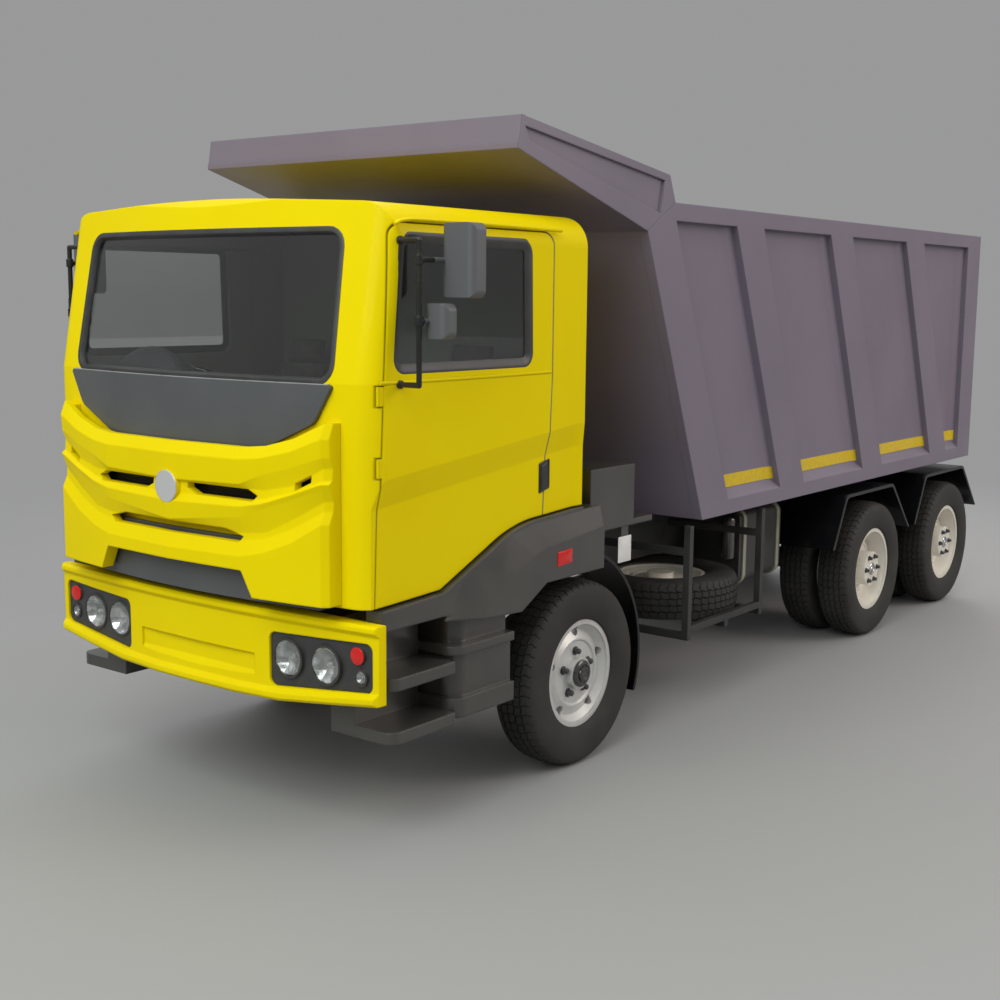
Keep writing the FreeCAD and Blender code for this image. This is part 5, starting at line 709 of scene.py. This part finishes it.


# Air slots. A louvred sheet is riveted to the nose behind the front panel's upper slots; its near-black
# colour is painted shade, so that they look open into the dark.
slot_painted_shade = finish(
    "slot_painted_shade", (0.006, 0.006, 0.006), (0.010, 0.010, 0.010), 0.05, (0.5, 0.6), 0.0002, 0.003
)
louvre_pitch = 0.014
louvre_z = np.linspace(1.600, 1.860, 96)
louvre_x = np.linspace(-strip_half, strip_half, 49)
louvre_back = 0.0008
louvre_thick = 0.0030
louvre_deep = 0.004
louvre_rise = louvre_thick + louvre_deep * ((louvre_z / louvre_pitch) % 1)
hem = np.ones(len(louvre_x))
hem[[0, -1]] = 0
louvre_spots = [grid.ravel() for grid in np.meshgrid(louvre_x, louvre_z)]
places, ways = (
    part.reshape(len(louvre_z), len(louvre_x), 3) for part in nose_place(*louvre_spots, louvre_back)
)
raised = places + ways * (louvre_rise[:, None] * hem)[..., None]
louvre = np.concatenate([raised, places[::-1]])
skin("slot_louvres", louvre, "chassis", "dark_plastic", slot_painted_shade, ring=True)


# Door handles. A plate of black plastic with a raised border is set in each door's rear edge
# over the recess, and a flat lever that is pinned at its top lies in it.
handle_corners = np.array([(-0.424, 1.602), (-0.330, 1.626), (-0.330, 1.788), (-0.424, 1.764)])
handle_floor = 1.140
handle_parts = (
    ("pan", 0.008, [(0.0015, 0.0128), (0.0015, 0.0165), (0.004, 0.0180), (0.009, 0.0175), (0.012, 0.0138)]),
    ("lever", 0.010, [(0.017, 0.0142), (0.017, 0.0165), (0.019, 0.0175), (0.026, 0.0180)]),
)
handle_plastic = finish(
    "handle_plastic", (0.018, 0.018, 0.019), (0.028, 0.028, 0.028), 0.05, (0.35, 0.48), 0.0002, 0.002
)


def stepped(corners, bends, levels, steps=6):
    """A closed plate built up from levels, as (level, column, (across, up, out)).
    Each level (inset, out) is the rounded outline with its half sizes less the inset; the
    first and the last level are closed onto the middle."""
    outline = rounded(corners, bends, steps)
    middle = (outline.max(axis=0) + outline.min(axis=0)) / 2
    half = (outline.max(axis=0) - outline.min(axis=0)) / 2
    levels = np.asarray(levels, dtype=float)
    flat = middle + (outline - middle)[None] * (1 - levels[:, None, :1] / half)
    out = np.broadcast_to(levels[:, None, 1:], (*flat.shape[:2], 1))
    sheet = np.concatenate([flat, out], axis=-1)
    pole = np.broadcast_to(middle, (1, len(outline), 2))
    first = np.concatenate([pole, sheet[:1, :, 2:]], axis=-1)
    last = np.concatenate([pole, sheet[-1:, :, 2:]], axis=-1)
    return np.concatenate([first, sheet, last])


def on_side(sheet, sign, face):
    """Turns (behind the axle, up, out) into places on a face of one side of the truck."""
    return np.stack([sign * (face + sheet[..., 2]), sheet[..., 0] + axle_y, sheet[..., 1]], axis=-1)


for side, sign in both_sides:
    for name, bend, levels in handle_parts:
        sheet = on_side(stepped(handle_corners, bend, levels), sign, handle_floor)
        skin(f"handle_{name}_{side}", sheet, f"door_{side}", "dark_plastic", handle_plastic, tube=True)


# Lamps. Each housing holds two large and two small round lamps: a chromed bowl with a bulb
# behind a domed clear glass, and a small red one. The tail clusters have three coloured lenses.
lamp_dark = finish(
    "lamp_dark", (0.030, 0.030, 0.031), (0.040, 0.040, 0.041), 0.1, (0.30, 0.42), 0.0002, 0.002, 0.004
)
# The bowls' chrome colour runs in small cloudy patches from near black to near white: these patches are
# painted reflections.
chrome_painted_reflections = finish(
    "chrome_painted_reflections", (0.07, 0.07, 0.065), (0.95, 0.95, 0.97), 0.055, (0.03, 0.08), Metallic=1.0
)
lens_clear = finish(
    "lens_clear", (0.90, 0.92, 0.92), (0.88, 0.90, 0.90), 0.1, (0.02, 0.05),
    Transmission_Weight=0.92, IOR=1.45,
)
lens_colours = {"red": (0.62, 0.012, 0.010), "amber": (0.72, 0.20, 0.006), "white": (0.55, 0.55, 0.54)}
lens_fade = 0.85
lens_finish = {}
for name, colour in lens_colours.items():
    faded = tuple(lens_fade * part for part in colour)
    lens_finish[name] = finish(f"lens_{name}", colour, faded, 0.02, (0.10, 0.2), 0.0006, 0.006)
dress(lamp_dark, "headlamps", "tail_lamps")
lamp_places = (
    ("inner", 0.652, 0.897, 0.087, 0.043, lens_clear),
    ("outer", 0.887, 0.897, 0.087, 0.043, lens_clear),
    ("turn", 1.082, 0.972, 0.042, 0.002, lens_finish["red"]),
    ("side", 1.096, 0.868, 0.031, 0.017, lens_clear),
)
bow_deep = 0.078
bow_half = 1.213
lamp_face_y = -1.800
bowl_wall = 0.003
bowl_share = np.linspace(1, 0.12, 14)
glass_rise = 0.10
glass_fit = 0.985
glass_thick = 0.0025
glass_angle = np.linspace(0, 1, 9) * np.pi / 2


def lamp_section(kind, radius, deep):
    """Closed section of a part of a round lamp, in (behind the face, radius) points. The bowl
    is a drum with a hollow deep * (1 - share^2), the glass a quarter of an ellipse."""
    if kind == "button":
        return [(-0.0084, 0), (-0.0084, radius), (-0.0125, radius), (-0.0150, radius * 0.9), (-0.0170, 0)]
    if kind == "bowl":
        sunk = (deep - 0.002) * (1 - bowl_share**2) - 0.002
        hollow = np.column_stack([sunk, (radius - bowl_wall) * bowl_share])
        drum = [(deep, 0), (deep, radius), (-0.006, radius), (-0.006, radius - bowl_wall)]
        return np.vstack([drum, hollow, [(deep - 0.004, 0)]])
    if kind == "bulb":
        foot = [(deep - 0.003, 0), (deep - 0.003, radius * 0.13)]
        return [*foot, (deep * 0.45, radius * 0.12), (deep * 0.3, radius * 0.07), (deep * 0.26, 0)]
    rise = -0.003 - glass_rise * radius * np.cos(glass_angle)
    outer = np.column_stack([rise, radius * glass_fit * np.sin(glass_angle)])
    return np.vstack([outer, outer[::-1] + (glass_thick, 0)])


for side, sign in both_sides:
    for name, x, z, radius, deep, lens in lamp_places:
        place = (sign * x, lamp_face_y + bow_deep * (x / bow_half) ** 2 + axle_y, z)
        parts = (
            ("bowl", 48, "rod_chrome", chrome_painted_reflections),
            ("bulb", 20, "glass", lens_finish["white"]),
            ("glass", 48, "glass", lens),
        )
        if name == "turn":
            parts = (("button", 40, "lamp_red", lens),)
        for kind, steps, slot, material in parts:
            sheet = turned(lamp_section(kind, radius, deep), place, "y", steps)
            whole_name = f"lamp_{kind}_{side}" if name == "turn" else f"lamp_{kind}_{name}_{side}"
            skin(whole_name, sheet, "chassis", slot, material, ring=True)


def upright(left, foot, right, top):
    """Corners of an upright rectangle, in order round it."""
    return [(left, foot), (right, foot), (right, top), (left, top)]


tail_low, tail_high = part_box("tail_lamps")
tail_wide = 0.260
tail_border = 0.006
tail_rim = 0.007
lens_gap = 0.003
lens_bend = 0.008
lens_pitch = (tail_wide - 2 * tail_border) / 3
lens_levels = [(0.0, 0.0), (0.0, 0.007), (0.004, 0.010), (0.02, 0.0115)]
for side, sign in both_sides:
    for number, name in enumerate(("amber", "red", "white")):
        outer_x = tail_high[0] - tail_border - number * lens_pitch
        inner_x = outer_x - lens_pitch + lens_gap
        corners = upright(inner_x, tail_low[2] + tail_rim, outer_x, tail_high[2] - tail_rim)
        sheet = stepped(corners, lens_bend, lens_levels)
        points = np.stack([sign * sheet[..., 0], tail_high[1] + sheet[..., 2], sheet[..., 1]], axis=-1)
        skin(f"tail_lens_{name}_{side}", points, "chassis", "lamp_red", lens_finish[name], tube=True)


# Mirrors. Two heads of grained grey plastic on a bent tube in gloss black at each side; each
# head has a silvered glass that looks back along the truck.
mirror_finish = finish(
    "mirror_finish", (0.012, 0.012, 0.013), (0.018, 0.018, 0.018), 0.2, (0.22, 0.32),
    0.00005, 0.002, 0.008,
)
head_look = ((0.092, 0.095, 0.104), 0.45)
mirror_heads = (
    ((1.396, -3.508, 2.80), (0.160, 0.130, 0.300)),
    ((1.352, -3.619, 2.527), (0.110, 0.075, 0.140)),
)
for middle, reach in mirror_heads:
    repainted(mirror_finish, inside(mirror_finish, middle, reach), *head_look)
dress(mirror_finish, "mirror_left", "mirror_right")
mirror_glass = finish(
    "mirror_glass", (0.62, 0.64, 0.66), (0.60, 0.62, 0.64), 0.2, (0.02, 0.06), Metallic=1.0
)
pane_bend = 0.035
pane_levels = [(0.008, -0.001), (0.008, 0.0016), (0.010, 0.0024)]
mirror_panes = (
    ("main", 1.396, 2.8025, 0.095, 0.1695, -1.316),
    ("wide", 1.352, 2.527, 0.065, 0.081, -1.435),
)
for side, sign in both_sides:
    for name, x, z, wide, high, rear in mirror_panes:
        sheet = stepped(upright(x - wide, z - high, x + wide, z + high), pane_bend, pane_levels)
        points = np.stack([sign * sheet[..., 0], rear + axle_y + sheet[..., 2], sheet[..., 1]], axis=-1)
        skin(f"mirror_pane_{name}_{side}", points, f"door_{side}", "mirror_dark", mirror_glass, tube=True)


# Tipping body. Folded and welded steel sheet in mauve-grey paint with an orange-peel surface;
# yellow reflecting tape is stuck along the foot of each bay between the ribs.
bed_paint = finish(
    "bed_paint", (0.182, 0.154, 0.204), (0.164, 0.139, 0.186), 0.8, (0.36, 0.48),
    0.0002, 0.012, 0.010, Coat_Weight=0.1, Coat_Roughness=0.3, Specular_IOR_Level=0.35,
)
dress(bed_paint, "bed_sides", "bed_floor", "bed_front", "tailgate")
tape_yellow = finish(
    "tape_yellow", (0.66, 0.47, 0.002), (0.58, 0.41, 0.002), 0.02, (0.3, 0.42), 0.0003, 0.003
)
sheet_x = 1.111
bay_foot = 1.344
lean_share = 0.428
fold_wide = 0.096
fold_deep = 0.018
tape_low = 1.411
tape_high = 1.497
tape_out = np.array([0.0002, 0.0002, 0.0016, 0.0016])
front_gap = 0.004
rear_gap = 0.006
bays = ((1.651, 2.399, 1), (2.771, 3.797, 1), (4.169, 5.195, 1), (5.567, 5.852, 0))
for side, sign in both_sides:
    for number, (start, end, leaning) in enumerate(bays):
        up = np.array([tape_low, tape_high, tape_high, tape_low])
        rise = up - bay_foot
        front = start - lean_share * rise + front_gap
        fold = end - fold_wide - lean_share * leaning * rise
        rear = end - rear_gap - lean_share * leaning * rise
        stations = [(front, 0.0), (fold, 0.0), (rear, fold_deep * (fold_wide - rear_gap) / fold_wide)]
        rows = [
            np.stack([sign * (sheet_x + deep + tape_out), along + axle_y, up], axis=-1)
            for along, deep in stations
        ]
        ends = [np.broadcast_to(row.mean(axis=0), row.shape) for row in (rows[0], rows[-1])]
        sheet = np.stack([ends[0], *rows, ends[1]])
        skin(f"tape_{number}_{side}", sheet, "bed", "bed_mauve", tape_yellow, tube=True, crease=10)


# Signs and small parts on the sides. A red reflector sits on each arch trim, and a blank white
# plate hangs from a plastic strip behind it, under the shelf. An upright steel canister stands
# by the tank, and a filler cap with a grip closes it.
plate_white = finish("plate_white", (0.72, 0.72, 0.71), (0.66, 0.66, 0.65), 0.1, (0.35, 0.45))
cap_black = finish("cap_black", (0.02, 0.02, 0.021), (0.03, 0.03, 0.03), 0.05, (0.4, 0.5), 0.0002, 0.003)
arch_face = 1.214
plate_face = 1.086
side_signs = (
    ("reflector", [(-0.325, 1.200), (-0.190, 1.207), (-0.190, 1.285), (-0.325, 1.278)], 0.006,
     [(0.0, 0.0003), (0.0, 0.003), (0.003, 0.0045)], arch_face, "lamp_red", lens_finish["red"]),
    ("side_plate", upright(0.470, 1.085, 0.610, 1.240), 0.006,
     [(0.0, 0.0003), (0.0, 0.002), (0.002, 0.003)], plate_face, "dark_plastic", plate_white),
    ("plate_hanger", upright(0.500, 1.120, 0.580, 1.3035), 0.004,
     [(0.0, -0.004), (0.0, -0.001), (0.001, 0.0)], plate_face, "dark_plastic", trim_plastic),
)
for side, sign in both_sides:
    for name, corners, bend, levels, face, slot, material in side_signs:
        sheet = on_side(stepped(corners, bend, levels), sign, face)
        skin(f"{name}_{side}", sheet, "chassis", slot, material, tube=True)
canister_shape = [
    (0, 0), (0, 0.036), (0.006, 0.043), (0.020, 0.046), (0.26, 0.046), (0.262, 0.049), (0.280, 0.049),
    (0.282, 0.046), (0.294, 0.042), (0.300, 0.030), (0.300, 0),
]
canister_coat = finish(
    "canister_coat", (0.10, 0.10, 0.09), (0.14, 0.14, 0.13), 0.1, (0.2, 0.3), 0.0, 0.01, 0.0, Metallic=0.6
)
canister_place = (0.79, 0.2285, 0.80)
canister = turned(canister_shape, canister_place, "z", 36)
skin("side_canister", canister, "chassis", "tank_dark", canister_coat, ring=True)
filler_shape = [
    (0, 0), (0, 0.062), (0.018, 0.062), (0.022, 0.058), (0.022, 0.046), (0.034, 0.043), (0.036, 0.038),
    (0.036, 0),
]
filler_place = (0.66, 0.44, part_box("tanks")[1][2] - 0.001)
filler = turned(filler_shape, filler_place, "z", 40)
skin("filler_cap", filler, "chassis", "dark_plastic", cap_black, ring=True)


# Tanks, guards and hoist. The tanks are of painted steel under pale olive straps, the side
# guards are welded tubes in satin black, and the hoist's rod is hard chromed.
tank_dark = finish(
    "tank_dark", (0.035, 0.035, 0.034), (0.05, 0.048, 0.045), 0.2, (0.36, 0.5), 0.0003, 0.006, 0.01
)
strap_olive = finish(
    "strap_olive", (0.30, 0.30, 0.23), (0.25, 0.25, 0.19), 0.1, (0.35, 0.5), 0.0002, 0.004, 0.003
)
rod_chrome = finish("rod_chrome", (0.7, 0.7, 0.7), (0.65, 0.65, 0.65), 0.1, (0.1, 0.2), Metallic=1.0)
dress(tank_dark, "tanks")
dress(strap_olive, "tank_straps")
dress(frame_black, "underrun_guards", "hoist_barrel")
dress(rod_chrome, "hoist_rod")


# Dashboard and steering wheel. A moulded soft-skinned dashboard with a hood over the dials in
# front of the driver, and a four-spoke wheel in black foam skin.
dash_plastic = finish(
    "dash_plastic", (0.060, 0.068, 0.080), (0.070, 0.078, 0.090), 0.1, (0.5, 0.6), 0.0003, 0.002, 0.01
)
wheel_plastic = finish(
    "wheel_plastic", (0.02, 0.02, 0.021), (0.03, 0.03, 0.03), 0.1, (0.35, 0.45), 0.0002, 0.002
)
dress(dash_plastic, "dashboard")
dress(wheel_plastic, "steering_wheel")


def pillow(half, low, high, crown=0.0, pull=0.0, grooves=(), count=64):
    """A closed padded form about its own middle: (sheet, row, column, (across, along, up)).
    With u and v from -1 to 1 over its plan, its top is high * f(u) * f(v) + crown * (1 - u^2)
    * (1 - v^2) and its foot -low * f(u) * f(v), where f(w) = (1 - |w|^5)^0.4. The sides are
    drawn in between the corners by the share pull * (1 - v^2) * |u|^3, and the corners are
    rounded by 1 - 0.07 v^8. A groove (axis, place, width, depth) presses in depth *
    exp(-(distance / width)^2)."""
    walk = np.sin(np.linspace(-np.pi / 2, np.pi / 2, count))
    u, v = np.meshgrid(walk, walk, indexing="ij")
    across = half[0] * u * (1 - 0.07 * v**8) * (1 - pull * (1 - v**2) * np.abs(u) ** 3)
    along = half[1] * v * (1 - 0.07 * u**8) * (1 - pull * (1 - u**2) * np.abs(v) ** 3)
    full = np.prod([np.clip(1 - np.abs(w) ** 5, 0, 1) ** 0.4 for w in (u, v)], axis=0)
    top = high * full + crown * (1 - u**2) * (1 - v**2)
    for axis, place, width, depth in grooves:
        away = (u * half[0] if axis == "across" else v * half[1]) - place
        top = top - depth * np.exp(-((away / width) ** 2)) * full
    return np.stack([np.stack([across, along, height], axis=-1) for height in (top, -low * full)])


hood_half = (0.33, 0.110)
hood_groove = ("along", -0.055, 0.010, 0.005)
hood_place = (-0.56, -1.580 + axle_y, 2.105)
hood = pillow(hood_half, 0.02, 0.115, 0.140, 0.0, [hood_groove], 48) + hood_place
skin("dial_hood", hood, "chassis", "dash_plastic", dash_plastic, crease=60)


# Seats. A driver's and a passenger's seat: foam pads in woven dark grey cloth, sewn in
# channels, on pans of black plastic; each has a separate head pad.
seat_cloth = finish(
    "seat_cloth", (0.105, 0.105, 0.098), (0.135, 0.134, 0.124), 0.05, (0.8, 0.9), 0.0008, 0.003,
    Sheen_Weight=0.2,
)
seat_x = 0.640
seat_lean = math.atan(0.224)
pad_pull = 0.035
pan_bend = 0.03
seat_pads = (
    ("cushion", (0.235, 0.225), 0.030, 0.066, 0.018, (0.0, -0.785, 1.640), 0.0,
     [("across", -0.135, 0.008, 0.012), ("across", 0.135, 0.008, 0.012), ("along", 0.0, 0.008, 0.008)]),
    ("back", (0.232, 0.290), 0.045, 0.060, 0.018, (0.0, -0.4435, 1.945), math.pi / 2 - seat_lean,
     [("across", -0.130, 0.008, 0.012), ("across", 0.130, 0.008, 0.012), ("along", -0.08, 0.008, 0.008),
      ("along", 0.10, 0.008, 0.008)]),
    ("head", (0.140, 0.078), 0.035, 0.045, 0.012, (0.0, -0.364, 2.300), math.pi / 2 - seat_lean, []),
)
seat_pans = (
    ("pan", upright(0.420, -0.985, 0.860, -0.420),
     [(0.03, 1.556), (0.0, 1.575), (0.0, 1.612), (0.012, 1.622)]),
    ("foot", upright(0.500, -0.955, 0.780, -0.805),
     [(0.0, 1.408), (0.0, 1.44), (0.02, 1.46), (0.02, 1.558)]),
)
for side, sign in both_sides:
    for name, half, low, high, crown, place, tilt, grooves in seat_pads:
        points = pillow(half, low, high, crown, pad_pull, grooves)
        rise, run = math.sin(tilt), math.cos(tilt)
        turn = np.array([(1, 0, 0), (0, run, -rise), (0, rise, run)])
        points = points @ turn.T + (sign * seat_x + place[0], place[1] + axle_y, place[2])
        pad = skin(f"seat_{name}_{side}", points, "chassis", "seat_fabric", seat_cloth, crease=70)
        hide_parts("seats")
    for name, corners, levels in seat_pans:
        sheet = stepped(corners, pan_bend, levels)
        points = np.stack([sign * sheet[..., 0], sheet[..., 1] + axle_y, sheet[..., 2]], axis=-1)
        pan = skin(f"seat_{name}_{side}", points, "chassis", "seat_fabric", cap_black, tube=True)
        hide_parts("seats")
